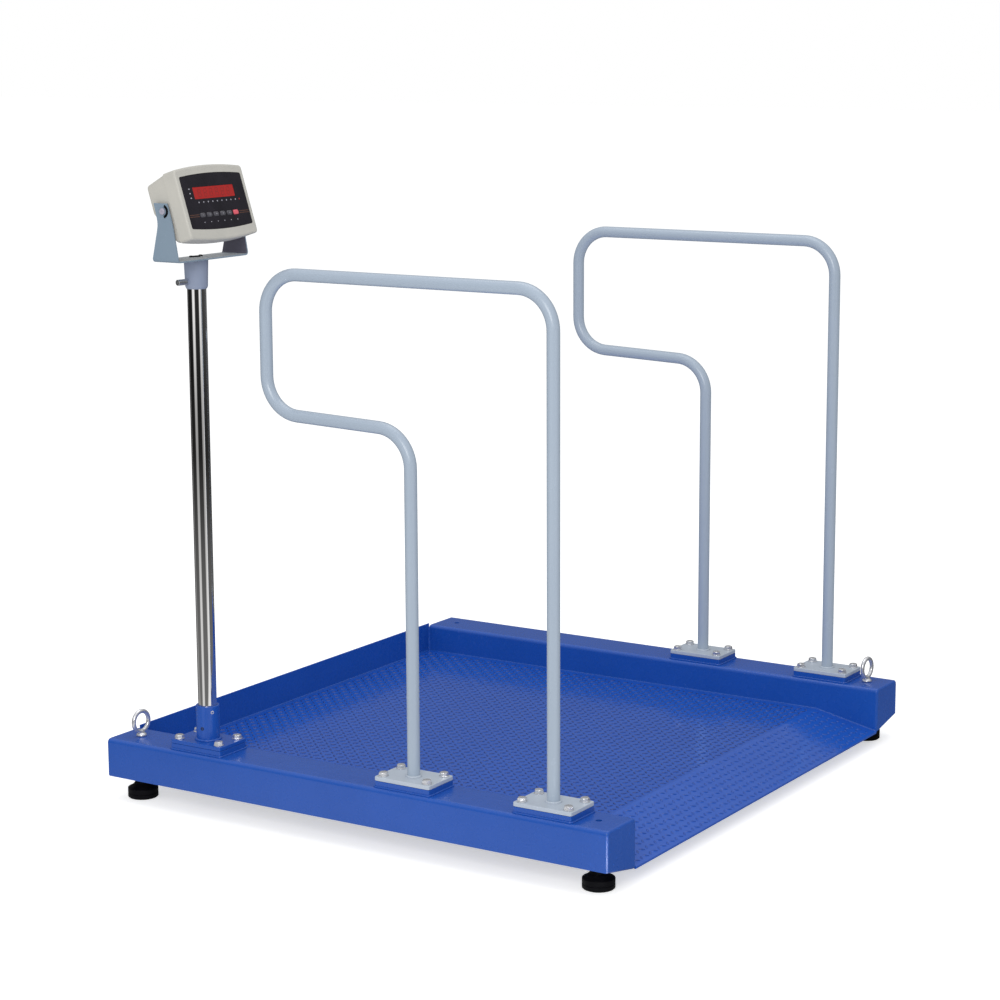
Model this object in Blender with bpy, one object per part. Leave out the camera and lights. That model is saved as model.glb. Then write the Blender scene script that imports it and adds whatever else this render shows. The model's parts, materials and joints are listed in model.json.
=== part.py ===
"""Wheelchair platform scale: a low ramped deck between two box rails, two bent handrails, and a tilting
indicator on a post.

+X points to the ramp, +Z up, Z = 0 is the floor. The left rail, with the post, is at -Y, as a person sees
it who goes up the ramp. All lengths are in metres, all angles in degrees.
"""
import math

import bmesh
import bpy
from mathutils import Matrix, Vector

# Fits
GAP = 0.0003                 # between two pieces that touch
OVERRUN = 0.006              # how far a cutter passes the face that it cuts

# Side rails, bent from sheet and open below
PLATFORM_LENGTH = 1.200
PLATFORM_WIDTH = 1.300
RAIL_UNDERSIDE = 0.050
RAIL_WIDTH = 0.105
RAIL_HEIGHT = 0.080
RAIL_WALL = 0.004
RAIL_CORNER_RADIUS = 0.009
CABLE_HOLE_RADIUS = 0.011

# Deck and ramp, one folded sheet
DECK_RISE = 0.016            # deck top over the rails' underside
DECK_THICKNESS = 0.005
RAMP_LENGTH = 0.150
LIP_HEIGHT = 0.034           # top of the ramp's lip over the floor
APRON_DROP = 0.020           # how far the rails' inner walls reach down at the lip

# Rear wall, an angle that carries the deck's rear edge
REAR_WALL_THICKNESS = 0.003
REAR_WALL_RISE = 0.004       # over the rails' roofs
REAR_FLANGE = 0.028

# Cross channels under the deck
CHANNEL_COUNT = 4
CHANNEL_WIDTH = 0.060
CHANNEL_DEPTH = 0.024
CHANNEL_WALL = 0.003
CHANNEL_END_MARGIN = 0.090   # deck edge or fold to the nearest channel's middle

# Load cells in the rails' ends
FOOT_INSET = 0.050           # foot axis from the rail's end
CELL_LENGTH = 0.130
CELL_WIDTH = 0.030
CELL_HEIGHT = 0.031
CELL_NOSE = 0.016            # foot axis to the cell's free end
CELL_POCKET_RADIUS = 0.011
CELL_POCKET_DEPTH = 0.009
CELL_BOLT_RADIUS = 0.0053
CELL_BOLT_SPACING = 0.026
SPACER_LENGTH = 0.054
SPACER_HEIGHT = 0.028

# Levelling feet
PAD_RADIUS = 0.0315
PAD_HEIGHT = 0.034
PAD_EDGE = 0.002
PAD_RIM = 0.0195              # top of the upright side
PAD_GROOVE_RISE = 0.0100      # over the floor
PAD_GROOVE_WIDTH = 0.0018
PAD_GROOVE_DEPTH = 0.0010
PAD_SLOPE_TOP = 0.0300
PAD_TOP_RADIUS = 0.0178
PAD_NECK_RADIUS = 0.0160
PAD_POCKET_DEPTH = 0.020
STUD_RADIUS = 0.006
STUD_FOOT_RADIUS = 0.0075
STUD_COLLAR_RADIUS = 0.0100
STUD_COLLAR_HEIGHT = 0.007
STUD_STANDOUT = 0.004        # over the load cell

# Lifting eyes
EYE_RING_RADIUS = 0.0215
EYE_BAR_RADIUS = 0.0046
EYE_COLLAR_RADIUS = 0.0110
EYE_COLLAR_HEIGHT = 0.0095
EYE_SHANK_RADIUS = 0.006
EYE_SHANK_LENGTH = 0.020
EYE_TURN = 86.0

# Junction box, hung from the left rail's roof
BOX_LENGTH = 0.110
BOX_WIDTH = 0.064
BOX_HEIGHT = 0.034
BOX_WALL = 0.0025
BOX_AHEAD_OF_POST = 0.125
BOX_INLET_RADIUS = 0.0045
LID_THICKNESS = 0.003
LID_LIP = 0.004

# Bolted feet of the handrails and the post
FLANGE_LENGTH = 0.129
FLANGE_WIDTH = 0.086
FLANGE_THICKNESS = 0.008
FLANGE_CORNER_RADIUS = 0.005
PAD_PLATE_THICKNESS = 0.012
BOLT_SPACING_X = 0.101
BOLT_SPACING_Y = 0.060
BOLT_HOLE_RADIUS = 0.0055

# Handrails, each one bent tube
HANDRAIL_RADIUS = 0.0125
HANDRAIL_BEND = 0.075
HANDRAIL_END_MARGIN = 0.148  # rail's front end to the front leg
LEG_SPACING_SHARE = 0.26375  # of the platform's length
ARM_REACH_SHARE = 0.28125    # of the platform's length, rear leg to arm end
HANDRAIL_TOP_Z = 1.110
HANDRAIL_LOWER_Z = 0.8375    # lower bar's axis below the arm's end bend
HANDRAIL_LOWER_SLOPE = 2.0

# Post and its socket
POST_END_MARGIN = 0.228      # rail's rear end to the post
POST_RADIUS = 0.019
POST_WALL = 0.0015
POST_TOP_Z = 1.119
SOCKET_RADIUS = 0.0240
SOCKET_HEIGHT = 0.072
SET_SCREW_RADIUS = 0.003
SET_SCREW_TURNS = (-28.0, -81.0)
SET_SCREW_HEIGHT_SHARES = (0.83, 0.36)

# Head adapter, a cup over the post's top
CUP_BOTTOM_Z = 1.0715
CUP_TOP_Z = 1.131
CUP_BOTTOM_RADIUS = 0.0202
CUP_WAIST_RADIUS = 0.0224
CUP_TOP_RADIUS = 0.0243
CUP_CHAMFER = 0.0045
CUP_CABLE_RADIUS = 0.0055
CUP_BOLT_RADIUS = 0.0025
CUP_BOLT_SPACING = 0.029     # the two screws that hold the bracket
CUP_ROOF = 0.006
CLAMP_TURN = -100.0
CLAMP_RISE = 0.015           # over the cup's lower edge
CLAMP_SHANK_RADIUS = 0.004
CLAMP_HEAD_RADIUS = 0.0060
CLAMP_HEAD_LENGTH = 0.021
CLAMP_STANDOFF = 0.006       # cup wall to the screw's head
CLAMP_SOCKET_RADIUS = 0.0030
CLAMP_SOCKET_DEPTH = 0.005

# Tilt bracket, bent from sheet
BRACKET_THICKNESS = 0.003
BRACKET_BEND_RADIUS = 0.004
BRACKET_FOOT_WIDTH = 0.0628
BRACKET_FOOT_AHEAD = 0.0034  # middle ahead of the pivot, here and at the waist and top
BRACKET_WAIST_WIDTH = 0.035
BRACKET_WAIST_AHEAD = 0.0051
BRACKET_WAIST_DROP = 0.0246  # under the pivot
BRACKET_WAIST_SOFTNESS = 0.012
BRACKET_TOP_WIDTH = 0.0325
BRACKET_TOP_AHEAD = -0.0058
PIVOT_FORWARD = 0.010        # pivot ahead of the post's axis
BRACKET_SIDE_GAP = 0.002     # bezel to arm
PIVOT_RISE = 0.099           # over the bracket's underside
ARM_ABOVE_PIVOT = 0.0155
PIVOT_RADIUS = 0.003
PIVOT_HEAD_RADIUS = 0.0065
PIVOT_HEAD_THICKNESS = 0.004
PIVOT_BOSS_RADIUS = 0.0085
PIVOT_REACH = 0.012          # screw's end inside the arm's inner face
SLOT_RADIUS = 0.0108
SLOT_WIDTH = 0.0034
SLOT_HALF_ANGLE = 62.0

# Indicator: bezel and rear housing
HEAD_TILT = 17.3
FACE_AHEAD = 0.048           # face ahead of the pivot
BEZEL_WIDTH = 0.209
BEZEL_HEIGHT = 0.137         # at its corners
BEZEL_BOW = 0.007            # how far top and bottom edges bow out
BEZEL_DEPTH = 0.030
BEZEL_CORNER_RADIUS = 0.007
CASE_LEAST_RADIUS = 0.00175  # of the case's corners where a section is inset
BEZEL_EDGE_RADIUS = 0.004
CASE_WALL = 0.003
HOUSING_INSET = 0.0015       # bezel side to housing side
HOUSING_DRAFT = 0.002        # further inset at the back
HOUSING_DEPTH = 0.049        # behind the bezel
HOUSING_BACK_DROP = 0.011    # under the bezel's corner, at the back
HOUSING_BACK_HEIGHT = 0.052
HOUSING_BACK_BOW = 0.004
HOUSING_CHIN_DEPTH = 0.002   # how far the chin runs back along the underside
HOUSING_EDGE_RADIUS = 0.004

# Display panel, window and keys
PANEL_WIDTH = 0.189
PANEL_HEIGHT = 0.1025
PANEL_RISE = 0.0022           # panel's middle over the bezel's
PANEL_BOW = 0.005
PANEL_CORNER_RADIUS = 0.004
PANEL_RECESS = 0.0006
WINDOW_WIDTH = 0.125
WINDOW_HEIGHT = 0.024
WINDOW_RISE = 0.020          # over the bezel's middle
WINDOW_CORNER_RADIUS = 0.001
WINDOW_THICKNESS = 0.0018
KEY_COUNT = 6
KEY_PITCH = 0.0205
KEY_WIDTH = 0.0165
KEY_HEIGHT = 0.0095
KEY_DROP = 0.024             # under the bezel's middle
KEY_CORNER_RADIUS = 0.0018
KEY_PROUD = 0.0012
KEY_DEPTH = 0.0065
KEY_TRAVEL = 0.0005
KEY_CROWN = 0.0006

# Circuit board, battery and cable gland
BOARD_WIDTH = 0.172
BOARD_HEIGHT = 0.092
BOARD_THICKNESS = 0.0016
BOARD_BEHIND_PANEL = 0.0075
BOARD_POST_RADIUS = 0.0025
BOARD_POST_MARGIN = 0.006
SWITCH_SIZE = 0.006
SWITCH_CORNER_RADIUS = 0.00075
DISPLAY_MARGIN = 0.002
BATTERY_LENGTH = 0.100
BATTERY_HEIGHT = 0.040
BATTERY_DEPTH = 0.034
BATTERY_DROP = 0.006         # under the housing's roof at the back
GLAND_THREAD_RADIUS = 0.006
GLAND_HEX_RADIUS = 0.0095
GLAND_HEX_HEIGHT = 0.005
GLAND_NUT_RADIUS = 0.0082
GLAND_NUT_HEIGHT = 0.009
GLAND_MOUTH_RADIUS = 0.0032
GLAND_STUB = 0.006
GLAND_PLACE_SHARE = 0.45     # down the housing's slope

# Facets
ROUND_SIDES = 24
RING_SIDES = 20
MIDDLE_SIDES = 16
SMALL_SIDES = 12
BOLT_SIDES = 8
TUBE_SIDES = 12
BEND_STEPS = 8
SOFT_STEPS = 4
CORNER_STEPS = 3
BOW_STEPS = 8
SMOOTH_ANGLE = 40.0
FLAT_ANGLE = 0.05

# Places that follow from the sizes above
RAIL_ROOF_Z = RAIL_UNDERSIDE + RAIL_HEIGHT
RAIL_CEILING_Z = RAIL_ROOF_Z - RAIL_WALL
RAIL_INNER_Y = PLATFORM_WIDTH / 2 - RAIL_WIDTH
RAIL_MIDDLE_Y = PLATFORM_WIDTH / 2 - RAIL_WIDTH / 2
DECK_TOP_Z = RAIL_UNDERSIDE + DECK_RISE
DECK_UNDERSIDE_Z = DECK_TOP_Z - DECK_THICKNESS
FOLD_X = PLATFORM_LENGTH / 2 - RAMP_LENGTH
FOOT_X = PLATFORM_LENGTH / 2 - FOOT_INSET
HANDRAIL_FRONT_LEG_X = PLATFORM_LENGTH / 2 - HANDRAIL_END_MARGIN
HANDRAIL_REAR_LEG_X = HANDRAIL_FRONT_LEG_X - PLATFORM_LENGTH * LEG_SPACING_SHARE
HANDRAIL_ARM_END_X = HANDRAIL_REAR_LEG_X - PLATFORM_LENGTH * ARM_REACH_SHARE
POST_X = POST_END_MARGIN - PLATFORM_LENGTH / 2
PAD_PLATE_TOP_Z = RAIL_ROOF_Z + GAP + PAD_PLATE_THICKNESS
FLANGE_TOP_Z = PAD_PLATE_TOP_Z + GAP + FLANGE_THICKNESS
SPACER_UNDERSIDE_Z = RAIL_CEILING_Z - GAP - SPACER_HEIGHT
CELL_TOP_Z = SPACER_UNDERSIDE_Z - GAP
BRACKET_UNDERSIDE_Z = CUP_TOP_Z + GAP
PIVOT_Z = BRACKET_UNDERSIDE_Z + PIVOT_RISE
ARM_INNER_Y = BEZEL_WIDTH / 2 + BRACKET_SIDE_GAP
ARM_OUTER_Y = ARM_INNER_Y + BRACKET_THICKNESS
HEAD_HALF_WIDTH = ARM_OUTER_Y + GAP + PIVOT_HEAD_THICKNESS
PANEL_FRONT = FACE_AHEAD - PANEL_RECESS
PANEL_BACK = FACE_AHEAD - CASE_WALL
BEZEL_BACK = FACE_AHEAD - BEZEL_DEPTH
HOUSING_HALF_WIDTH = BEZEL_WIDTH / 2 - HOUSING_INSET
HOUSING_BACK = BEZEL_BACK - HOUSING_DEPTH

# The post's side of the whole part reaches further out than the other rail
SIDE_SHIFT = (RAIL_MIDDLE_Y + HEAD_HALF_WIDTH - PLATFORM_WIDTH / 2) / 2

SIDES = {"left": -1, "right": 1}
ENDS = {"rear": -1, "front": 1}


# Materials

def make_material(name, colour, roughness, metallic=0.0):
    material = bpy.data.materials.new(name)
    material.use_nodes = True
    shader = material.node_tree.nodes["Principled BSDF"]
    shader.inputs["Base Color"].default_value = (*colour, 1.0)
    shader.inputs["Roughness"].default_value = roughness
    shader.inputs["Metallic"].default_value = metallic
    return material


def make_materials():
    return {
        "frame_paint": make_material("frame_paint", (0.045, 0.105, 0.33), 0.28),
        "handrail_paint": make_material("handrail_paint", (0.33, 0.40, 0.52), 0.28),
        "flange_paint": make_material("flange_paint", (0.50, 0.53, 0.58), 0.35),
        "bracket_paint": make_material("bracket_paint", (0.25, 0.33, 0.42), 0.40),
        "adapter_paint": make_material("adapter_paint", (0.31, 0.35, 0.48), 0.35),
        "stainless": make_material("stainless", (0.72, 0.72, 0.72), 0.16, 1.0),
        "zinc": make_material("zinc", (0.62, 0.62, 0.62), 0.32, 1.0),
        "alloy": make_material("alloy", (0.66, 0.67, 0.69), 0.35, 1.0),
        "rubber": make_material("rubber", (0.02, 0.02, 0.02), 0.75),
        "housing_plastic": make_material("housing_plastic", (0.52, 0.51, 0.44), 0.45),
        "panel_plastic": make_material("panel_plastic", (0.012, 0.012, 0.018), 0.30),
        "window_plastic": make_material("window_plastic", (0.42, 0.015, 0.02), 0.12),
        "key_plastic": make_material("key_plastic", (0.10, 0.11, 0.14), 0.40),
        "stop_key_plastic": make_material("stop_key_plastic", (0.55, 0.03, 0.03), 0.40),
        "board": make_material("board", (0.02, 0.16, 0.06), 0.45),
        "battery_plastic": make_material("battery_plastic", (0.06, 0.06, 0.07), 0.50),
        "box_plastic": make_material("box_plastic", (0.40, 0.41, 0.42), 0.50),
        "gland_nylon": make_material("gland_nylon", (0.03, 0.03, 0.03), 0.50),
    }


# Outlines

def arc(centre, radius, start, end, steps):
    """Points along an arc from one angle to the other, both ends included."""
    angles = [math.radians(start + (end - start) * step / steps) for step in range(steps + 1)]
    return [(centre[0] + radius * math.cos(angle), centre[1] + radius * math.sin(angle)) for angle in angles]


def circle(centre, radius, sides, start=0):
    return arc(centre, radius, start, start + 360, sides)[:-1]


def rounded_rectangle(width, height, radius, steps=CORNER_STEPS):
    across = width / 2 - radius
    up = height / 2 - radius
    corners = ((across, up, 0), (-across, up, 90), (-across, -up, 180), (across, -up, 270))
    return [point for a, b, turn in corners for point in arc((a, b), radius, turn, turn + 90, steps)]


def bowed_outline(width, height, bow, radius):
    """A rounded rectangle whose upper and lower edges bow out."""
    across = width / 2 - radius

    def edge_height(a):
        return height / 2 + bow * (1 - (2 * a / width) ** 2)

    corner_up = edge_height(across) - radius
    upper = arc((across, corner_up), radius, 0, 90, CORNER_STEPS)
    stations = [across - 2 * across * step / BOW_STEPS for step in range(1, BOW_STEPS)]
    upper += [(a, edge_height(a)) for a in stations]
    upper += arc((-across, corner_up), radius, 90, 180, CORNER_STEPS)
    lower = [(-a, -b) for a, b in upper]
    return upper + lower


def moved(outline, across, up):
    return [(a + across, b + up) for a, b in outline]


# Meshes

def to_mesh(name, bm):
    bmesh.ops.connect_verts_nonplanar(bm, angle_limit=math.radians(FLAT_ANGLE), faces=bm.faces)
    bmesh.ops.recalc_face_normals(bm, faces=bm.faces)
    mesh = bpy.data.meshes.new(name)
    bm.to_mesh(mesh)
    bm.free()
    mesh.shade_smooth()
    mesh.set_sharp_from_angle(angle=math.radians(SMOOTH_ANGLE))
    return mesh


def add_loft(bm, rings):
    """A skin over rings of points, closed at both ends."""
    loops = [[bm.verts.new(point) for point in ring] for ring in rings]
    for near, far in zip(loops, loops[1:]):
        for index in range(len(near)):
            after = (index + 1) % len(near)
            bm.faces.new((near[index], near[after], far[after], far[index]))
    bm.faces.new(loops[0])
    bm.faces.new(reversed(loops[-1]))


def on_axis(axis, along, point):
    """A point of an outline that is drawn square to an axis."""
    a, b = point
    return {"X": (along, a, b), "Y": (a, along, b), "Z": (a, b, along)}[axis]


def add_prism(bm, outline, axis, low, high):
    add_loft(bm, [[on_axis(axis, along, point) for point in outline] for along in (low, high)])


def loft(name, rings):
    bm = bmesh.new()
    add_loft(bm, rings)
    return to_mesh(name, bm)


def prism(name, outline, axis, low, high):
    bm = bmesh.new()
    add_prism(bm, outline, axis, low, high)
    return to_mesh(name, bm)


def prisms(name, outlines, axis, low, high):
    """Several separate prisms in one mesh, for a cutter or a set of additions."""
    bm = bmesh.new()
    for outline in outlines:
        add_prism(bm, outline, axis, low, high)
    return to_mesh(name, bm)


def block(name, low, high):
    outline = [(low[0], low[1]), (high[0], low[1]), (high[0], high[1]), (low[0], high[1])]
    return prism(name, outline, "Z", low[2], high[2])


def lathe(name, profile, sides=ROUND_SIDES):
    """Turns a profile of (radius, height) points about Z. A profile off the axis closes on itself."""
    bm = bmesh.new()
    rings = []
    for radius, height in profile:
        turns = [2 * math.pi * side / sides for side in range(sides)]
        if radius == 0:
            rings.append([bm.verts.new((0, 0, height))] * sides)
        else:
            rings.append([bm.verts.new((radius * math.cos(t), radius * math.sin(t), height)) for t in turns])
    pairs = list(zip(rings, rings[1:]))
    if profile[0][0] > 0:
        pairs.append((rings[-1], rings[0]))
    for near, far in pairs:
        for side in range(sides):
            after = (side + 1) % sides
            corners = list(dict.fromkeys((near[side], near[after], far[after], far[side])))
            bm.faces.new(corners)
    return to_mesh(name, bm)


def rod(name, radius, low, high, sides=ROUND_SIDES):
    return lathe(name, [(0, low), (radius, low), (radius, high), (0, high)], sides)


def torus(name, ring_radius, bar_radius, around=RING_SIDES, sides=BOLT_SIDES):
    """A ring that stands upright in the plane of X and Z."""
    bm = bmesh.new()
    rings = []
    for step in range(around):
        turn = 2 * math.pi * step / around
        ring = []
        for side in range(sides):
            angle = 2 * math.pi * side / sides
            reach = ring_radius + bar_radius * math.cos(angle)
            ring.append(bm.verts.new((reach * math.cos(turn), bar_radius * math.sin(angle), reach * math.sin(turn))))
        rings.append(ring)
    for step in range(around):
        near = rings[step]
        far = rings[(step + 1) % around]
        for side in range(sides):
            after = (side + 1) % sides
            bm.faces.new((near[side], near[after], far[after], far[side]))
    return to_mesh(name, bm)


def bent_rod(name, path, radius, sides=TUBE_SIDES):
    """A round bar along a path of (x, z) points."""
    points = [Vector((x, 0, z)) for x, z in path]
    rings = []
    for index, point in enumerate(points):
        before = (point - points[index - 1]).normalized() if index else None
        after = (points[index + 1] - point).normalized() if index + 1 < len(points) else None
        ahead = ((before or after) + (after or before)).normalized()
        stretch = 1 / ahead.dot(before or after)
        across = Vector((-ahead.z, 0, ahead.x)) * stretch
        angles = [2 * math.pi * side / sides for side in range(sides)]
        rings.append([point + radius * (math.cos(t) * across + math.sin(t) * Vector((0, 1, 0))) for t in angles])
    return loft(name, rings)


# Objects

def make_empty(name, parent=None, location=(0, 0, 0), turn=(0, 0, 0)):
    empty = bpy.data.objects.new(name, None)
    place(empty, parent, location, turn)
    return empty


def place(item, parent, location, turn):
    item.parent = parent
    item.location = location
    item.rotation_euler = [math.radians(angle) for angle in turn]
    bpy.context.scene.collection.objects.link(item)


def add_piece(name, mesh, material, parent, location=(0, 0, 0), turn=(0, 0, 0)):
    piece = bpy.data.objects.new(name, mesh)
    mesh.materials.append(material)
    place(piece, parent, location, turn)
    return piece


def add_tool(name, mesh, parent, location=(0, 0, 0), turn=(0, 0, 0)):
    """A hidden shape that cuts, joins or trims a piece."""
    tool = bpy.data.objects.new(name, mesh)
    place(tool, parent, location, turn)
    tool.hide_render = True
    tool.display_type = "WIRE"
    return tool


def combine(piece, tool, operation="DIFFERENCE"):
    modifier = piece.modifiers.new(tool.name, "BOOLEAN")
    modifier.operation = operation
    modifier.solver = "EXACT"
    modifier.object = tool


# Platform

def rail_ring(x, side, inset, outer_floor, inner_floor):
    """One section of a rail, with rounded upper corners."""
    radius = RAIL_CORNER_RADIUS - inset if inset < RAIL_CORNER_RADIUS else inset
    roof = RAIL_ROOF_Z - inset - radius
    near = RAIL_INNER_Y + inset
    far = RAIL_INNER_Y + RAIL_WIDTH - inset
    outline = [(far, outer_floor)]
    outline += arc((far - radius, roof), radius, 0, 90, CORNER_STEPS)
    outline += arc((near + radius, roof), radius, 90, 180, CORNER_STEPS)
    outline += [(near, inner_floor)]
    return [(x, side * y, z) for y, z in outline]


def make_rail(root, name, side, paint):
    half = PLATFORM_LENGTH / 2
    floors = ((-half, RAIL_UNDERSIDE), (FOLD_X, RAIL_UNDERSIDE), (half, RAIL_UNDERSIDE - APRON_DROP))
    skin = [rail_ring(x, side, 0, RAIL_UNDERSIDE, inner_floor) for x, inner_floor in floors]
    rail = add_piece(f"{name}_rail", loft(f"{name}_rail", skin), paint, root)
    below = RAIL_UNDERSIDE - APRON_DROP - OVERRUN
    hollow = [rail_ring(x, side, RAIL_WALL, below, below) for x in (RAIL_WALL - half, half - RAIL_WALL)]
    combine(rail, add_tool(f"{name}_rail_hollow", loft(f"{name}_rail_hollow", hollow), root))
    holes = [(sign * FOOT_X, EYE_SHANK_RADIUS + GAP) for sign in ENDS.values()]
    if name == "left":
        holes.append((POST_X, CABLE_HOLE_RADIUS))
    outlines = [circle((x, side * RAIL_MIDDLE_Y), radius, MIDDLE_SIDES) for x, radius in holes]
    low = RAIL_CEILING_Z - OVERRUN
    high = RAIL_ROOF_Z + OVERRUN
    drill = prisms(f"{name}_rail_holes", outlines, "Z", low, high)
    combine(rail, add_tool(f"{name}_rail_holes", drill, root))


def make_deck(root, paint):
    half_width = RAIL_INNER_Y - GAP
    rear = REAR_WALL_THICKNESS + GAP - PLATFORM_LENGTH / 2
    slope = math.atan2(DECK_TOP_Z - LIP_HEIGHT, RAMP_LENGTH)
    lip_x = PLATFORM_LENGTH / 2
    outline = [
        (rear, DECK_TOP_Z),
        (FOLD_X, DECK_TOP_Z),
        (lip_x, LIP_HEIGHT),
        (lip_x - DECK_THICKNESS * math.sin(slope), LIP_HEIGHT - DECK_THICKNESS * math.cos(slope)),
        (FOLD_X - DECK_THICKNESS * math.tan(slope / 2), DECK_UNDERSIDE_Z),
        (rear, DECK_UNDERSIDE_Z),
    ]
    add_piece("deck_plate", prism("deck_plate", outline, "Y", -half_width, half_width), paint, root)


def make_rear_wall(root, paint):
    half_width = RAIL_INNER_Y - GAP
    back = -PLATFORM_LENGTH / 2
    front = back + REAR_WALL_THICKNESS
    top = RAIL_ROOF_Z + REAR_WALL_RISE
    seat = DECK_UNDERSIDE_Z - GAP
    foot = seat - REAR_WALL_THICKNESS
    toe = front + REAR_FLANGE
    outline = [(back, foot), (toe, foot), (toe, seat), (front, seat), (front, top), (back, top)]
    add_piece("rear_wall", prism("rear_wall", outline, "Y", -half_width, half_width), paint, root)


def make_channels(root, paint):
    half_width = RAIL_INNER_Y - GAP
    top = DECK_UNDERSIDE_Z - GAP
    foot = top - CHANNEL_DEPTH
    side = CHANNEL_WIDTH / 2
    inner = side - CHANNEL_WALL
    ceiling = top - CHANNEL_WALL
    outline = [
        (-side, foot), (-inner, foot), (-inner, ceiling), (inner, ceiling),
        (inner, foot), (side, foot), (side, top), (-side, top),
    ]
    first = CHANNEL_END_MARGIN - PLATFORM_LENGTH / 2
    last = FOLD_X - CHANNEL_END_MARGIN
    for index in range(CHANNEL_COUNT):
        x = first + (last - first) * index / (CHANNEL_COUNT - 1)
        name = f"deck_channel_{index + 1}"
        mesh = prism(name, outline, "Y", -half_width, half_width)
        add_piece(name, mesh, paint, root, (x, 0, 0))


# Load cells and feet

def make_load_cell(root, corner, end, y, materials):
    """A shear beam, bolted up to a spacer at its inner end and carried by the foot at its outer end."""
    nose = CELL_NOSE
    tail = CELL_NOSE - CELL_LENGTH
    low_x, high_x = sorted((end * nose, end * tail))
    half = CELL_WIDTH / 2
    x = end * FOOT_X
    mesh = block(f"load_cell_{corner}", (low_x, -half, -CELL_HEIGHT), (high_x, half, 0))
    cell = add_piece(f"load_cell_{corner}", mesh, materials["alloy"], root, (x, y, CELL_TOP_Z))

    middle = end * (nose + tail) / 2
    pocket = circle((middle, -CELL_HEIGHT / 2), CELL_POCKET_RADIUS, MIDDLE_SIDES)
    bm = bmesh.new()
    for side in SIDES.values():
        inside = side * (half - CELL_POCKET_DEPTH)
        outside = side * (half + OVERRUN)
        add_prism(bm, pocket, "Y", min(inside, outside), max(inside, outside))
    tool = add_tool(f"cell_pockets_{corner}", to_mesh("cell_pockets", bm), root, (x, y, CELL_TOP_Z))
    combine(cell, tool)

    spacer_middle = end * (tail + SPACER_LENGTH / 2)
    outlines = [circle((0, 0), STUD_RADIUS + GAP, SMALL_SIDES)]
    for sign in (-1, 1):
        centre = (spacer_middle + sign * CELL_BOLT_SPACING / 2, 0)
        outlines.append(circle(centre, CELL_BOLT_RADIUS, BOLT_SIDES))
    reach = CELL_HEIGHT + OVERRUN
    drill = add_tool(f"cell_holes_{corner}", prisms("cell_holes", outlines, "Z", -reach, OVERRUN), root,
                     (x, y, CELL_TOP_Z))
    combine(cell, drill)

    half_length = SPACER_LENGTH / 2
    mesh = block(f"cell_spacer_{corner}", (-half_length, -half, 0), (half_length, half, SPACER_HEIGHT))
    add_piece(f"cell_spacer_{corner}", mesh, materials["frame_paint"], root,
              (x + spacer_middle, y, SPACER_UNDERSIDE_Z))


def pad_profile():
    """A moulded rubber foot: upright side with a groove round it, a cone above and a blind pocket for the stud."""
    pocket_radius = STUD_FOOT_RADIUS + GAP
    floor = PAD_HEIGHT - PAD_POCKET_DEPTH
    groove_half = PAD_GROOVE_WIDTH / 2
    return [
        (0, 0), (PAD_RADIUS - PAD_EDGE, 0), (PAD_RADIUS, PAD_EDGE), (PAD_RADIUS, PAD_GROOVE_RISE - groove_half),
        (PAD_RADIUS - PAD_GROOVE_DEPTH, PAD_GROOVE_RISE), (PAD_RADIUS, PAD_GROOVE_RISE + groove_half),
        (PAD_RADIUS, PAD_RIM), (PAD_RADIUS - PAD_EDGE, PAD_RIM + PAD_EDGE), (PAD_TOP_RADIUS, PAD_SLOPE_TOP),
        (PAD_NECK_RADIUS, PAD_HEIGHT), (pocket_radius, PAD_HEIGHT), (pocket_radius, floor), (0, floor),
    ]


def make_foot(root, corner, x, y, materials):
    height = make_empty(f"foot_height_{corner}", root, (x, y, 0))
    add_piece(f"foot_pad_{corner}", lathe(f"foot_pad_{corner}", pad_profile(), RING_SIDES), materials["rubber"], height)
    foot = PAD_HEIGHT - PAD_POCKET_DEPTH + GAP
    collar = PAD_HEIGHT + GAP
    collar_top = collar + STUD_COLLAR_HEIGHT
    profile = [
        (0, foot), (STUD_FOOT_RADIUS, foot), (STUD_FOOT_RADIUS, collar), (STUD_COLLAR_RADIUS, collar),
        (STUD_COLLAR_RADIUS, collar_top), (STUD_RADIUS, collar_top), (STUD_RADIUS, CELL_TOP_Z + STUD_STANDOUT),
        (0, CELL_TOP_Z + STUD_STANDOUT),
    ]
    add_piece(f"foot_stud_{corner}", lathe(f"foot_stud_{corner}", profile, SMALL_SIDES), materials["zinc"], height)


def make_corners(root, materials):
    for end_name, end in ENDS.items():
        for side_name, side in SIDES.items():
            corner = f"{end_name}_{side_name}"
            y = side * RAIL_MIDDLE_Y
            make_load_cell(root, corner, end, y, materials)
            make_foot(root, corner, end * FOOT_X, y, materials)


def make_lifting_eye(root, name, x, y, material):
    """A forged ring on a collar, screwed through the rail's roof."""
    shank = GAP - EYE_SHANK_LENGTH
    profile = [
        (0, shank), (EYE_SHANK_RADIUS, shank), (EYE_SHANK_RADIUS, 0), (EYE_COLLAR_RADIUS, 0),
        (EYE_COLLAR_RADIUS, EYE_COLLAR_HEIGHT), (EYE_BAR_RADIUS, EYE_COLLAR_HEIGHT + EYE_BAR_RADIUS),
        (0, EYE_COLLAR_HEIGHT + EYE_BAR_RADIUS),
    ]
    place_at = (x, y, RAIL_ROOF_Z + GAP)
    turn = (0, 0, EYE_TURN)
    eye = add_piece(name, lathe(name, profile, MIDDLE_SIDES), material, root, place_at, turn)
    ring_rise = EYE_COLLAR_HEIGHT + EYE_RING_RADIUS
    ring_at = (x, y, RAIL_ROOF_Z + GAP + ring_rise)
    ring = add_tool(f"{name}_ring", torus(f"{name}_ring", EYE_RING_RADIUS, EYE_BAR_RADIUS), root, ring_at, turn)
    combine(eye, ring, "UNION")


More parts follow.
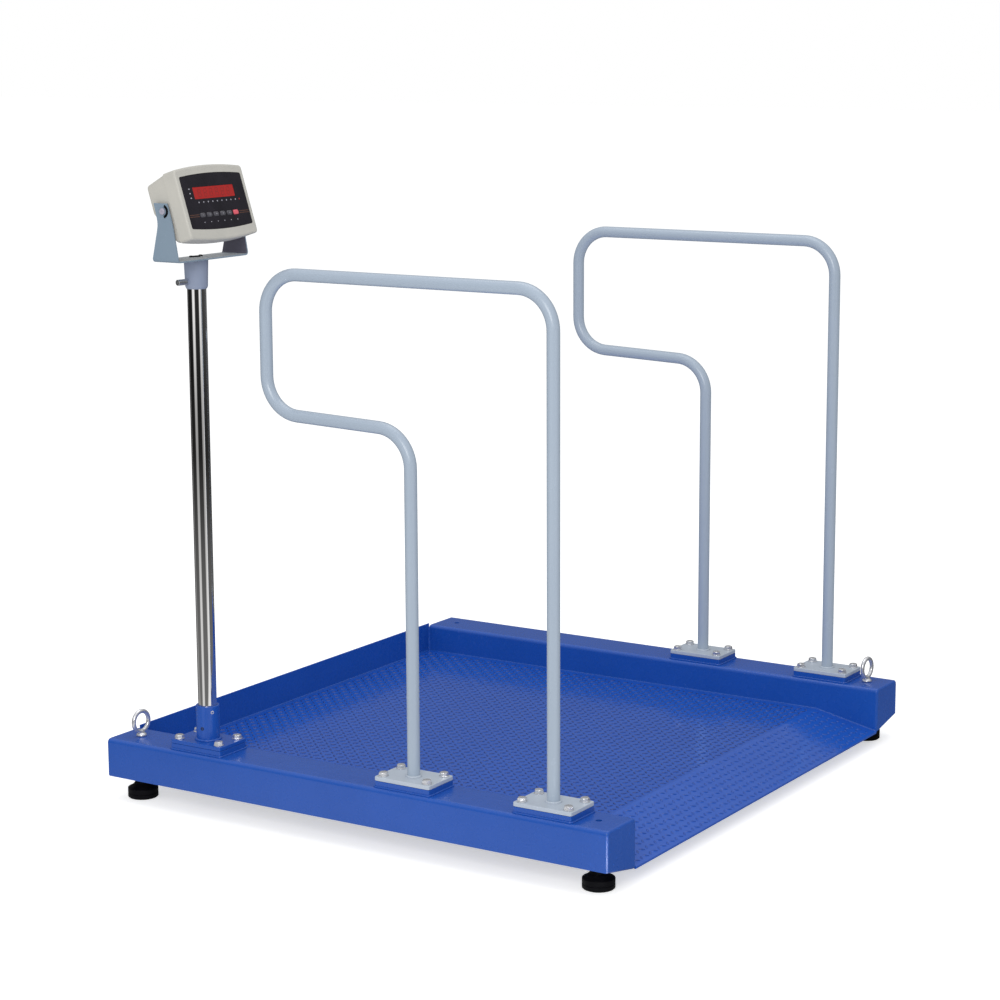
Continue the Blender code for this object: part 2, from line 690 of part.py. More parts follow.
def make_junction_box(root, materials):
    """A box under the left rail's roof, where the four load cells' wires meet, with a lid below."""
    x = POST_X + BOX_AHEAD_OF_POST
    top = RAIL_CEILING_Z - GAP
    location = (x, -RAIL_MIDDLE_Y, top)
    outer = rounded_rectangle(BOX_LENGTH, BOX_WIDTH, BOX_WALL)
    body = prism("junction_box", outer, "Z", -BOX_HEIGHT, 0)
    box = add_piece("junction_box", body, materials["box_plastic"], root, location)
    half_length = BOX_LENGTH / 2 - BOX_WALL
    half_width = BOX_WIDTH / 2 - BOX_WALL
    low = -BOX_HEIGHT - OVERRUN
    hollow = block("box_hollow", (-half_length, -half_width, low), (half_length, half_width, -BOX_WALL))
    combine(box, add_tool("box_hollow", hollow, root, location))
    inlet = circle((0, -BOX_HEIGHT / 2), BOX_INLET_RADIUS, BOLT_SIDES)
    reach = BOX_LENGTH / 2 + OVERRUN
    combine(box, add_tool("box_inlets", prism("box_inlets", inlet, "X", -reach, reach), root, location))

    lid_top = top - BOX_HEIGHT - GAP
    lid = prism("junction_box_lid", outer, "Z", -LID_THICKNESS, 0)
    lid_at = (x, -RAIL_MIDDLE_Y, lid_top)
    cover = add_piece("junction_box_lid", lid, materials["box_plastic"], root, lid_at)
    length = BOX_LENGTH / 2 - BOX_WALL - GAP
    width = BOX_WIDTH / 2 - BOX_WALL - GAP
    lip = block("lid_lip", (-length, -width, -LID_THICKNESS / 2), (length, width, LID_LIP))
    combine(cover, add_tool("lid_lip", lip, root, lid_at), "UNION")


# Handrails

def make_bolted_foot(root, name, x, side, plate_name, plate_material, pad_material, centre_hole=0):
    """A pad welded on the rail and the flange plate that is bolted on it."""
    y = side * RAIL_MIDDLE_Y
    outline = rounded_rectangle(FLANGE_LENGTH, FLANGE_WIDTH, FLANGE_CORNER_RADIUS, 2)
    pad_z = RAIL_ROOF_Z + GAP
    plate_z = PAD_PLATE_TOP_Z + GAP
    pad = add_piece(f"{name}_pad", prism(f"{name}_pad", outline, "Z", 0, PAD_PLATE_THICKNESS), pad_material, root,
                    (x, y, pad_z))
    plate = add_piece(plate_name, prism(plate_name, outline, "Z", 0, FLANGE_THICKNESS), plate_material, root,
                      (x, y, plate_z))
    half_x = BOLT_SPACING_X / 2
    half_y = BOLT_SPACING_Y / 2
    places = [(a, b) for a in (-half_x, half_x) for b in (-half_y, half_y)]
    outlines = [circle(centre, BOLT_HOLE_RADIUS, BOLT_SIDES) for centre in places]
    if centre_hole:
        outlines.append(circle((0, 0), centre_hole, MIDDLE_SIDES))
    high = PAD_PLATE_THICKNESS + GAP + FLANGE_THICKNESS + OVERRUN
    drill = add_tool(f"{name}_holes", prisms(f"{name}_holes", outlines, "Z", -OVERRUN, high), root, (x, y, pad_z))
    combine(pad, drill)
    combine(plate, drill)


def corner_bend(before, corner, after, radius):
    """The rounded corner of a bent tube, between the straight runs on each side."""
    back = (Vector(before) - Vector(corner)).normalized()
    ahead = (Vector(after) - Vector(corner)).normalized()
    half = back.angle(ahead) / 2
    centre = Vector(corner) + (back + ahead).normalized() * radius / math.sin(half)
    start = Vector(corner) + back * radius / math.tan(half) - centre
    end = Vector(corner) + ahead * radius / math.tan(half) - centre
    sweep = start.angle_signed(end)
    return [tuple(centre + Matrix.Rotation(-sweep * step / BEND_STEPS, 2) @ start) for step in range(BEND_STEPS + 1)]


def handrail_path():
    """From the front leg's foot, over the top bar, round the arm's end and along the lower bar to the rear leg."""
    foot = FLANGE_TOP_Z + GAP
    slope = math.tan(math.radians(HANDRAIL_LOWER_SLOPE))
    rear_leg_z = HANDRAIL_LOWER_Z - slope * (HANDRAIL_REAR_LEG_X - HANDRAIL_ARM_END_X)
    corners = [
        (HANDRAIL_FRONT_LEG_X, foot),
        (HANDRAIL_FRONT_LEG_X, HANDRAIL_TOP_Z),
        (HANDRAIL_ARM_END_X, HANDRAIL_TOP_Z),
        (HANDRAIL_ARM_END_X, HANDRAIL_LOWER_Z),
        (HANDRAIL_REAR_LEG_X, rear_leg_z),
        (HANDRAIL_REAR_LEG_X, foot),
    ]
    path = [corners[0]]
    for before, corner, after in zip(corners, corners[1:], corners[2:]):
        path += corner_bend(before, corner, after, HANDRAIL_BEND)
    return path + [corners[-1]]


def make_handrails(root, materials):
    for name, side in SIDES.items():
        mesh = bent_rod(f"{name}_handrail", handrail_path(), HANDRAIL_RADIUS)
        add_piece(f"{name}_handrail", mesh, materials["handrail_paint"], root, (0, side * RAIL_MIDDLE_Y, 0))
        for leg, x in (("front", HANDRAIL_FRONT_LEG_X), ("rear", HANDRAIL_REAR_LEG_X)):
            station = f"{leg}_{name}_leg"
            make_bolted_foot(root, station, x, side, f"{station}_flange", materials["flange_paint"],
                             materials["frame_paint"])


# Post and adapter

def make_post(root, materials):
    y = -RAIL_MIDDLE_Y
    make_bolted_foot(root, "post", POST_X, SIDES["left"], "post_base_plate", materials["frame_paint"],
                     materials["frame_paint"], CABLE_HOLE_RADIUS)
    foot = FLANGE_TOP_Z + GAP
    bore = POST_RADIUS + GAP
    top = foot + SOCKET_HEIGHT
    profile = [(bore, foot), (SOCKET_RADIUS, foot), (SOCKET_RADIUS, top), (bore, top)]
    socket = add_piece("post_socket", lathe("post_socket", profile), materials["frame_paint"], root, (POST_X, y, 0))
    reach = SOCKET_RADIUS + OVERRUN
    for index, (turn, share) in enumerate(zip(SET_SCREW_TURNS, SET_SCREW_HEIGHT_SHARES)):
        drill = rod(f"set_screw_hole_{index + 1}", SET_SCREW_RADIUS, 0, reach, SMALL_SIDES)
        tool = add_tool(f"set_screw_hole_{index + 1}", drill, root, (POST_X, y, foot + share * SOCKET_HEIGHT),
                        (0, 90, turn))
        combine(socket, tool)
    inner = POST_RADIUS - POST_WALL
    profile = [(inner, foot), (POST_RADIUS, foot), (POST_RADIUS, POST_TOP_Z), (inner, POST_TOP_Z)]
    add_piece("post_tube", lathe("post_tube", profile), materials["stainless"], root, (POST_X, y, 0))


def clamp_profile():
    """Radius against the distance from the post's axis: shank, then a cylindrical head."""
    tip = POST_RADIUS + GAP
    head = CUP_WAIST_RADIUS + CLAMP_STANDOFF
    end = head + CLAMP_HEAD_LENGTH
    return [
        (0, tip), (CLAMP_SHANK_RADIUS, tip), (CLAMP_SHANK_RADIUS, head), (CLAMP_HEAD_RADIUS, head),
        (CLAMP_HEAD_RADIUS, end), (0, end),
    ]


def bolt_circles(radius):
    """The two screws that hold the bracket on the cup."""
    half = CUP_BOLT_SPACING / 2
    return [circle((0, side * half), radius, SMALL_SIDES, 180 / SMALL_SIDES) for side in SIDES.values()]


def make_adapter(swivel, materials):
    """The cup that turns on the post's top and carries the bracket, with its clamp screw."""
    bore = POST_RADIUS + GAP
    ceiling = CUP_TOP_Z - CUP_ROOF
    profile = [
        (CUP_CABLE_RADIUS, CUP_TOP_Z), (CUP_TOP_RADIUS, CUP_TOP_Z), (CUP_WAIST_RADIUS, CUP_BOTTOM_Z + CUP_CHAMFER),
        (CUP_BOTTOM_RADIUS, CUP_BOTTOM_Z), (bore, CUP_BOTTOM_Z), (bore, ceiling), (CUP_CABLE_RADIUS, ceiling),
    ]
    cup = add_piece("post_adapter", lathe("post_adapter", profile), materials["adapter_paint"], swivel)
    drill = prisms("cup_bolt_holes", bolt_circles(CUP_BOLT_RADIUS), "Z", ceiling - OVERRUN, CUP_TOP_Z + OVERRUN)
    combine(cup, add_tool("cup_bolt_holes", drill, swivel))
    height = CUP_BOTTOM_Z + CLAMP_RISE
    turn = (0, 90, CLAMP_TURN)
    reach = CUP_TOP_RADIUS + OVERRUN
    drill = rod("clamp_hole", CLAMP_SHANK_RADIUS + GAP, 0, reach, SMALL_SIDES)
    combine(cup, add_tool("clamp_hole", drill, swivel, (0, 0, height), turn))
    clamp = make_empty("clamp_screw_turn", swivel, (0, 0, height), turn)
    screw = add_piece("clamp_screw", lathe("clamp_screw", clamp_profile(), MIDDLE_SIDES), materials["zinc"], clamp)
    end = CUP_WAIST_RADIUS + CLAMP_STANDOFF + CLAMP_HEAD_LENGTH
    key_hole = rod("clamp_key_hole", CLAMP_SOCKET_RADIUS, end - CLAMP_SOCKET_DEPTH, end + OVERRUN, 6)
    combine(screw, add_tool("clamp_key_hole", key_hole, clamp))


# Tilt bracket

def soft_corner(before, corner, after, reach):
    """A curve that rounds off the corner between two straight runs, beginning the given reach before it."""
    start = Vector(corner) + (Vector(before) - Vector(corner)).normalized() * reach
    end = Vector(corner) + (Vector(after) - Vector(corner)).normalized() * reach
    points = []
    for step in range(SOFT_STEPS + 1):
        share = step / SOFT_STEPS
        points.append(tuple(start.lerp(Vector(corner), share).lerp(Vector(corner).lerp(end, share), share)))
    return points


def bracket_section():
    """The bracket from the front: a U with rounded lower corners."""
    top = PIVOT_Z + ARM_ABOVE_PIVOT
    low = BRACKET_UNDERSIDE_Z
    outer = BRACKET_BEND_RADIUS + BRACKET_THICKNESS
    inner = BRACKET_BEND_RADIUS
    centre_y = ARM_OUTER_Y - outer
    centre_z = low + outer
    right_outer = arc((centre_y, centre_z), outer, 270, 360, CORNER_STEPS) + [(ARM_OUTER_Y, top)]
    right_inner = [(ARM_INNER_Y, top)] + arc((centre_y, centre_z), inner, 360, 270, CORNER_STEPS)
    right = right_outer + right_inner
    left = [(-y, z) for y, z in reversed(right)]
    return right + left


def bracket_side_outline():
    """The bracket from the side: flanks that narrow to a waist, and a head that leans back."""
    low = BRACKET_UNDERSIDE_Z - OVERRUN
    knee = BRACKET_UNDERSIDE_Z + BRACKET_THICKNESS + BRACKET_BEND_RADIUS
    waist = PIVOT_Z - BRACKET_WAIST_DROP
    top = PIVOT_Z + ARM_ABOVE_PIVOT
    flanks = []
    for side in SIDES.values():
        foot = BRACKET_FOOT_AHEAD + side * BRACKET_FOOT_WIDTH / 2
        middle = BRACKET_WAIST_AHEAD + side * BRACKET_WAIST_WIDTH / 2
        head = BRACKET_TOP_AHEAD + side * BRACKET_TOP_WIDTH / 2
        turn = soft_corner((foot, knee), (middle, waist), (head, top), BRACKET_WAIST_SOFTNESS)
        flanks.append([(foot, low), (foot, knee)] + turn + [(head, top)])
    back, front = flanks
    return moved(front + back[::-1], PIVOT_FORWARD, 0)


def slot_outline():
    """An arc slot about the pivot, with square ends."""
    centre = (PIVOT_FORWARD, PIVOT_Z)
    outer = arc(centre, SLOT_RADIUS + SLOT_WIDTH / 2, -SLOT_HALF_ANGLE, SLOT_HALF_ANGLE, BEND_STEPS)
    inner = arc(centre, SLOT_RADIUS - SLOT_WIDTH / 2, SLOT_HALF_ANGLE, -SLOT_HALF_ANGLE, BEND_STEPS)
    return outer + inner


def make_bracket(swivel, materials):
    half = BRACKET_FOOT_WIDTH / 2 + OVERRUN
    mesh = prism("tilt_bracket", bracket_section(), "X", PIVOT_FORWARD - half, PIVOT_FORWARD + half)
    bracket = add_piece("tilt_bracket", mesh, materials["bracket_paint"], swivel)
    reach = ARM_OUTER_Y + OVERRUN
    shape = prism("bracket_shape", bracket_side_outline(), "Y", -reach, reach)
    combine(bracket, add_tool("bracket_shape", shape, swivel), "INTERSECT")
    pivot = circle((PIVOT_FORWARD, PIVOT_Z), PIVOT_RADIUS + GAP, SMALL_SIDES)
    cuts = prisms("bracket_slots", [pivot, slot_outline()], "Y", -reach, reach)
    combine(bracket, add_tool("bracket_slots", cuts, swivel))
    holes = bolt_circles(CUP_BOLT_RADIUS + GAP) + [circle((0, 0), CUP_CABLE_RADIUS, SMALL_SIDES)]
    low = BRACKET_UNDERSIDE_Z - OVERRUN
    high = BRACKET_UNDERSIDE_Z + BRACKET_THICKNESS + OVERRUN
    combine(bracket, add_tool("bracket_base_holes", prisms("bracket_base_holes", holes, "Z", low, high), swivel))
    for name, side in SIDES.items():
        head = ARM_OUTER_Y + GAP
        end = ARM_INNER_Y - PIVOT_REACH
        profile = [
            (0, end), (PIVOT_RADIUS, end), (PIVOT_RADIUS, head), (PIVOT_HEAD_RADIUS, head),
            (PIVOT_HEAD_RADIUS, head + PIVOT_HEAD_THICKNESS), (0, head + PIVOT_HEAD_THICKNESS),
        ]
        add_piece(f"pivot_screw_{name}", lathe(f"pivot_screw_{name}", profile, SMALL_SIDES), materials["zinc"], swivel,
                  (PIVOT_FORWARD, 0, PIVOT_Z), (-90 * side, 0, 0))


# Indicator, drawn about its pivot with its face square to +X

def bezel_ring(x, inset):
    radius = max(BEZEL_CORNER_RADIUS - inset, CASE_LEAST_RADIUS)
    outline = bowed_outline(BEZEL_WIDTH - 2 * inset, BEZEL_HEIGHT - 2 * inset, BEZEL_BOW, radius)
    return [on_axis("X", x, point) for point in outline]


def make_bezel(head, materials):
    """The front shell: a bowed frame with a rounded front edge, hollow behind."""
    rings = [bezel_ring(BEZEL_BACK, 0)]
    for step in range(CORNER_STEPS + 1):
        angle = math.pi / 2 * step / CORNER_STEPS
        inset = BEZEL_EDGE_RADIUS * (1 - math.cos(angle))
        rings.append(bezel_ring(FACE_AHEAD - BEZEL_EDGE_RADIUS * (1 - math.sin(angle)), inset))
    bezel = add_piece("front_bezel", loft("front_bezel", rings), materials["housing_plastic"], head)
    hollow = loft("bezel_hollow", [bezel_ring(x, CASE_WALL) for x in (BEZEL_BACK - OVERRUN, PANEL_BACK)])
    combine(bezel, add_tool("bezel_hollow", hollow, head))
    opening = bowed_outline(PANEL_WIDTH + 2 * GAP, PANEL_HEIGHT + 2 * GAP, PANEL_BOW, PANEL_CORNER_RADIUS)
    cut = prism("bezel_opening", moved(opening, 0, PANEL_RISE), "X", PANEL_BACK - OVERRUN, FACE_AHEAD + OVERRUN)
    combine(bezel, add_tool("bezel_opening", cut, head))


def housing_ring(x, inset):
    """One section of the rear housing, which tapers and flattens towards its back."""
    share = (BEZEL_BACK - x) / HOUSING_DEPTH
    drop = HOUSING_INSET + (HOUSING_BACK_DROP - HOUSING_INSET) * share + inset
    narrowing = HOUSING_INSET + HOUSING_DRAFT * share + inset
    bow = BEZEL_BOW + (HOUSING_BACK_BOW - BEZEL_BOW) * share
    radius = max(BEZEL_CORNER_RADIUS - inset, CASE_LEAST_RADIUS)
    outline = bowed_outline(BEZEL_WIDTH - 2 * narrowing, BEZEL_HEIGHT - 2 * drop, bow, radius)
    return [on_axis("X", x, point) for point in outline]


def chin_line():
    """Where the housing's back turns under, and where the slope leaves its underside."""
    upper = Vector((HOUSING_BACK, BEZEL_HEIGHT / 2 - HOUSING_BACK_DROP - HOUSING_BACK_HEIGHT))
    lower = Vector((BEZEL_BACK - HOUSING_CHIN_DEPTH, -BEZEL_HEIGHT / 2 - BEZEL_BOW))
    return upper, lower


def chin_wedge(inset):
    """What the slope takes away, in the side view, for the skin or for the hollow inside it."""
    upper, lower = chin_line()
    along = (lower - upper).normalized()
    inward = Vector((-along.y, along.x)) * inset
    start = upper + inward - along * (3 * OVERRUN)
    end = lower + inward + along * OVERRUN
    return [tuple(start), tuple(end), (start.x, end.y)]


def gland_place():
    """A place on the housing's sloping underside, and the turn about Y that points square out of it."""
    upper, lower = chin_line()
    centre = upper + (lower - upper) * GLAND_PLACE_SHARE
    along = lower - upper
    outward = Vector((along.y, -along.x)).normalized()
    return centre, math.degrees(math.atan2(outward.x, outward.y))


def make_housing(head, materials):
    """The rear shell: tapered, hollow, with a boss each side for the pivot screws."""
    rings = [housing_ring(BEZEL_BACK - GAP, 0)]
    for step in range(CORNER_STEPS + 1):
        angle = math.pi / 2 * step / CORNER_STEPS
        x = HOUSING_BACK + HOUSING_EDGE_RADIUS * (1 - math.sin(angle))
        rings.append(housing_ring(x, HOUSING_EDGE_RADIUS * (1 - math.cos(angle))))
    housing = add_piece("rear_housing", loft("rear_housing", rings), materials["housing_plastic"], head)
    reach = ARM_OUTER_Y
    slope = add_tool("housing_slope", prism("housing_slope", chin_wedge(0), "Y", -reach, reach), head)
    combine(housing, slope)

    stations = (BEZEL_BACK + OVERRUN, HOUSING_BACK + CASE_WALL)
    hollow = loft("housing_hollow", [housing_ring(x, CASE_WALL) for x in stations])
    hollow = add_tool("housing_hollow", hollow, head)
    floor = add_tool("hollow_slope", prism("hollow_slope", chin_wedge(CASE_WALL), "Y", -reach, reach), head)
    combine(hollow, floor)
    combine(housing, hollow)

    boss_out = ARM_INNER_Y - GAP
    boss_in = HOUSING_HALF_WIDTH - 2 * CASE_WALL
    bosses = bmesh.new()
    outline = circle((0, 0), PIVOT_BOSS_RADIUS, MIDDLE_SIDES)
    for side in SIDES.values():
        add_prism(bosses, outline, "Y", min(side * boss_in, side * boss_out), max(side * boss_in, side * boss_out))
    combine(housing, add_tool("housing_bosses", to_mesh("housing_bosses", bosses), head), "UNION")
    pivot = circle((0, 0), PIVOT_RADIUS + GAP, SMALL_SIDES)
    combine(housing, add_tool("housing_pivots", prism("housing_pivots", pivot, "Y", -reach, reach), head))
    (x, z), turn = gland_place()
    hole = rod("gland_hole", GLAND_THREAD_RADIUS + GAP, -OVERRUN, OVERRUN, SMALL_SIDES)
    combine(housing, add_tool("gland_hole", hole, head, (x, 0, z), (0, turn, 0)))


def make_gland(head, materials):
    """A cable gland: a threaded stub in the wall, a flange outside and a domed nut with the cable's mouth."""
    (x, z), turn = gland_place()
    nut = GAP + GLAND_HEX_HEIGHT
    end = nut + GLAND_NUT_HEIGHT
    profile = [
        (GLAND_MOUTH_RADIUS, -GLAND_STUB), (GLAND_THREAD_RADIUS, -GLAND_STUB), (GLAND_THREAD_RADIUS, GAP),
        (GLAND_HEX_RADIUS, GAP), (GLAND_HEX_RADIUS, nut), (GLAND_NUT_RADIUS, nut),
        (GLAND_NUT_RADIUS, end - GLAND_MOUTH_RADIUS), (GLAND_MOUTH_RADIUS, end),
    ]
    add_piece("cable_gland", lathe("cable_gland", profile, SMALL_SIDES), materials["gland_nylon"], head, (x, 0, z),
              (0, turn, 0))


def key_places():
    first = -KEY_PITCH * (KEY_COUNT - 1) / 2
    return [(first + KEY_PITCH * index, -KEY_DROP) for index in range(KEY_COUNT)]


def make_panel(head, materials):
    outline = bowed_outline(PANEL_WIDTH, PANEL_HEIGHT, PANEL_BOW, PANEL_CORNER_RADIUS)
    mesh = prism("display_panel", moved(outline, 0, PANEL_RISE), "X", PANEL_BACK, PANEL_FRONT)
    panel = add_piece("display_panel", mesh, materials["panel_plastic"], head)
    window = rounded_rectangle(WINDOW_WIDTH, WINDOW_HEIGHT, WINDOW_CORNER_RADIUS, 1)
    holes = [moved(window, 0, WINDOW_RISE)]
    key = rounded_rectangle(KEY_WIDTH + 2 * GAP, KEY_HEIGHT + 2 * GAP, KEY_CORNER_RADIUS + GAP, 2)
    holes += [moved(key, across, up) for across, up in key_places()]
    cut = prisms("panel_holes", holes, "X", PANEL_BACK - OVERRUN, PANEL_FRONT + OVERRUN)
    combine(panel, add_tool("panel_holes", cut, head))
    pane = rounded_rectangle(WINDOW_WIDTH - 2 * GAP, WINDOW_HEIGHT - 2 * GAP, WINDOW_CORNER_RADIUS, 1)
    front = PANEL_FRONT - GAP
    mesh = prism("display_window", moved(pane, 0, WINDOW_RISE), "X", front - WINDOW_THICKNESS, front)
    add_piece("display_window", mesh, materials["window_plastic"], head)


def make_keys(head, materials):
    """Six key caps in the panel's holes, each free to go in by its travel."""
    outline = rounded_rectangle(KEY_WIDTH, KEY_HEIGHT, KEY_CORNER_RADIUS, 2)
    crown = rounded_rectangle(KEY_WIDTH - 2 * KEY_CROWN, KEY_HEIGHT - 2 * KEY_CROWN, KEY_CORNER_RADIUS - KEY_CROWN, 2)
    front = PANEL_FRONT + KEY_PROUD
    stations = ((front - KEY_DEPTH, outline), (front - KEY_CROWN, outline), (front, crown))
    for index, (across, up) in enumerate(key_places()):
        rings = [[on_axis("X", x, point) for point in shape] for x, shape in stations]
        last = index == KEY_COUNT - 1
        material = materials["stop_key_plastic" if last else "key_plastic"]
        add_piece(f"key_{index + 1}", loft(f"key_{index + 1}", rings), material, head, (0, across, up))


def make_board(head, materials):
    """The circuit board, with its display module, a switch behind each key and four posts to the panel."""
    front = PANEL_BACK - BOARD_BEHIND_PANEL
    back = front - BOARD_THICKNESS
    sheet = rounded_rectangle(BOARD_WIDTH, BOARD_HEIGHT, BOARD_POST_RADIUS, 1)
    board = add_piece("circuit_board", prism("circuit_board", sheet, "X", back, front), materials["board"], head)
    middle = front - BOARD_THICKNESS / 2
    half_width = BOARD_WIDTH / 2 - BOARD_POST_MARGIN
    half_height = BOARD_HEIGHT / 2 - BOARD_POST_MARGIN
    centres = [(a, b) for a in (-half_width, half_width) for b in (-half_height, half_height)]
    posts = [circle(centre, BOARD_POST_RADIUS, BOLT_SIDES) for centre in centres]
    tool = add_tool("board_posts", prisms("board_posts", posts, "X", middle, PANEL_BACK - GAP), head)
    combine(board, tool, "UNION")
    size = (WINDOW_WIDTH - DISPLAY_MARGIN, WINDOW_HEIGHT - DISPLAY_MARGIN)
    module = moved(rounded_rectangle(*size, WINDOW_CORNER_RADIUS, 1), 0, WINDOW_RISE)
    tool = add_tool("display_module", prism("display_module", module, "X", middle, PANEL_BACK - GAP), head)
    combine(board, tool, "UNION")
    switch = rounded_rectangle(SWITCH_SIZE, SWITCH_SIZE, SWITCH_CORNER_RADIUS, 1)
    switches = [moved(switch, across, up) for across, up in key_places()]
    top = PANEL_FRONT + KEY_PROUD - KEY_DEPTH - KEY_TRAVEL - GAP
    tool = add_tool("key_switches", prisms("key_switches", switches, "X", middle, top), head)
    combine(board, tool, "UNION")


def make_battery(head, materials):
    back = HOUSING_BACK + CASE_WALL + GAP
    top = BEZEL_HEIGHT / 2 - HOUSING_BACK_DROP - BATTERY_DROP
    half = BATTERY_LENGTH / 2
    mesh = block("battery", (back, -half, top - BATTERY_HEIGHT), (back + BATTERY_DEPTH, half, top))
    add_piece("battery", mesh, materials["battery_plastic"], head)


def make_head(root, materials):
    swivel = make_empty("head_swivel", root, (POST_X, -RAIL_MIDDLE_Y, 0))
    make_adapter(swivel, materials)
    make_bracket(swivel, materials)
    head = make_empty("indicator_tilt", swivel, (PIVOT_FORWARD, 0, PIVOT_Z), (0, -HEAD_TILT, 0))
    make_bezel(head, materials)
    make_housing(head, materials)
    make_gland(head, materials)
    make_panel(head, materials)
    make_keys(head, materials)
    make_board(head, materials)
    make_battery(head, materials)


def main():
    for item in list(bpy.data.objects):
        bpy.data.objects.remove(item, do_unlink=True)
    materials = make_materials()
    root = make_empty("platform_middle", None, (0, SIDE_SHIFT, 0))
    for name, side in SIDES.items():
        make_rail(root, name, side, materials["frame_paint"])
    make_deck(root, materials["frame_paint"])
    make_rear_wall(root, materials["frame_paint"])
    make_channels(root, materials["frame_paint"])
    make_corners(root, materials)
    make_lifting_eye(root, "lifting_eye_left", -FOOT_X, -RAIL_MIDDLE_Y, materials["zinc"])
    make_lifting_eye(root, "lifting_eye_right", FOOT_X, RAIL_MIDDLE_Y, materials["zinc"])
    make_junction_box(root, materials)
    make_handrails(root, materials)
    make_post(root, materials)
    make_head(root, materials)


main()
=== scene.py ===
"""Looks of a wheelchair platform scale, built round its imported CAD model.

The CAD frame holds: +X points to the ramp, +Z up, Z = 0 is the floor, and the left rail with its post is at
-Y.
All lengths are in metres, all angles in degrees unless a name says otherwise.
"""
import json
import math

import bmesh
import bpy
from mathutils import Matrix, Vector

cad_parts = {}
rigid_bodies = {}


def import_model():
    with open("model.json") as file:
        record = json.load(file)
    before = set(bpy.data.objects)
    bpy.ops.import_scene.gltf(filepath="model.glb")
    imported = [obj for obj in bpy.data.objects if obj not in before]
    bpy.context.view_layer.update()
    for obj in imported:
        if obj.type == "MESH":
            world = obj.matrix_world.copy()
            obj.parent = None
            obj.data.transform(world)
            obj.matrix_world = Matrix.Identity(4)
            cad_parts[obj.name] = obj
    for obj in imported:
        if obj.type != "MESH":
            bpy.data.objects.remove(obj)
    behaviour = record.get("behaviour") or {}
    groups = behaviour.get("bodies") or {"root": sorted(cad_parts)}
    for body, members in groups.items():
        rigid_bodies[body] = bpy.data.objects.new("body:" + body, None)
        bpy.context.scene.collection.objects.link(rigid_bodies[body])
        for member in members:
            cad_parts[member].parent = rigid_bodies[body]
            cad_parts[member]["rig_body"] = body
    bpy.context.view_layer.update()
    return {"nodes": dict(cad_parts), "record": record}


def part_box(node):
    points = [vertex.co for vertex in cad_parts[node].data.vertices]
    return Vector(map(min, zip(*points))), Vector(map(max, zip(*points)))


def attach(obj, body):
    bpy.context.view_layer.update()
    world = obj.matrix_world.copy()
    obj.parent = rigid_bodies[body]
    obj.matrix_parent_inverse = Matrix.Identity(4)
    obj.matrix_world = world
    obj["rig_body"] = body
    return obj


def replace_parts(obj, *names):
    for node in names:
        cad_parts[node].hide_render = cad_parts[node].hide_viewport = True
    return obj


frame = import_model()
nodes = frame["nodes"]


def add_object(name, data):
    thing = bpy.data.objects.new(name, data)
    bpy.context.scene.collection.objects.link(thing)
    return thing


def at(x, y, z):
    return Matrix.Translation((x, y, z))


def turned(angle, axis):
    return Matrix.Rotation(math.radians(angle), 4, axis)


# Places and sizes, the same as in the CAD model. The small lift among them is how far the bracket's faces of
# painted shade and painted highlight stand off the bracket.
LEFT_Y = -0.56685
RIGHT_Y = 0.62815
DECK_MIDDLE_Y = 0.03065
PLATFORM_HALF_LENGTH = 0.600
RAIL_ROOF_Z = 0.130
DECK_TOP_Z = 0.066
LIP_TOP_Z = 0.034
FOLD_X = 0.450
DECK_HALF_WIDTH = 0.5447
WALL_FRONT_X = -0.597
WALL_TOP_Z = 0.134
FOOT_X = 0.550
CELL_TOP_Z = 0.0974
CELL_UNDERSIDE_Z = 0.0664
PAD_BOTTOM_Z = 0.1303
FLANGE_TOP_Z = 0.1506
FLANGE_LENGTH = 0.129
FLANGE_WIDTH = 0.086
FLANGE_CORNER = 0.005
BOLT_HALF_X = 0.0505
BOLT_HALF_Y = 0.030
POST_X = -0.372
POST_RADIUS = 0.019
POST_WALL = 0.0015
POST_TOP_Z = 1.119
SOCKET_RADIUS = 0.024
SOCKET_TOP_Z = 0.2229
CUP_BOTTOM_Z = 1.0715
CUP_TOP_Z = 1.131
BRACKET_TOP_Z = 1.1343
PAINTED_LIGHT_LIFT = 0.00015
CUP_SCREW_OFFSET = 0.0145
HANDRAIL_RADIUS = 0.0125
EYE_TURN = 86.0
EYE_RADIUS = 0.0215
EYE_HEIGHT = 0.0310
EYE_THICKNESS = 0.0046
PIVOT = Vector((-0.362, LEFT_Y, 1.2303))
HEAD_TILT = 17.3
PANEL_FRONT = 0.0474
HOUSING_BACK = -0.031
CASE_SCREWS = ((-0.088, 0.045), (-0.088, 0.012), (0.088, 0.045), (0.088, 0.012))
ARM_INSIDE = 0.1065
LEGS = {
    "front_left": (0.452, LEFT_Y),
    "rear_left": (0.1355, LEFT_Y),
    "front_right": (0.452, RIGHT_Y),
    "rear_right": (0.1355, RIGHT_Y),
}
CORNERS = {
    "rear_left": (-FOOT_X, LEFT_Y),
    "rear_right": (-FOOT_X, RIGHT_Y),
    "front_left": (FOOT_X, LEFT_Y),
    "front_right": (FOOT_X, RIGHT_Y),
}
STATIONS = dict(LEGS, post=(POST_X, LEFT_Y))
SIDES = (("left", -1), ("right", 1))
TO_HEAD = at(*PIVOT) @ turned(-HEAD_TILT, "Y")

# The camera's place, its yaw, pitch and roll, and its lens in millimetres, fitted to the photograph
CAMERA_PLACE = Vector((2.8297, -4.4962, 1.579))
CAMERA_ANGLES = (32.40, 10.53, -0.25)
LENS = 91.79


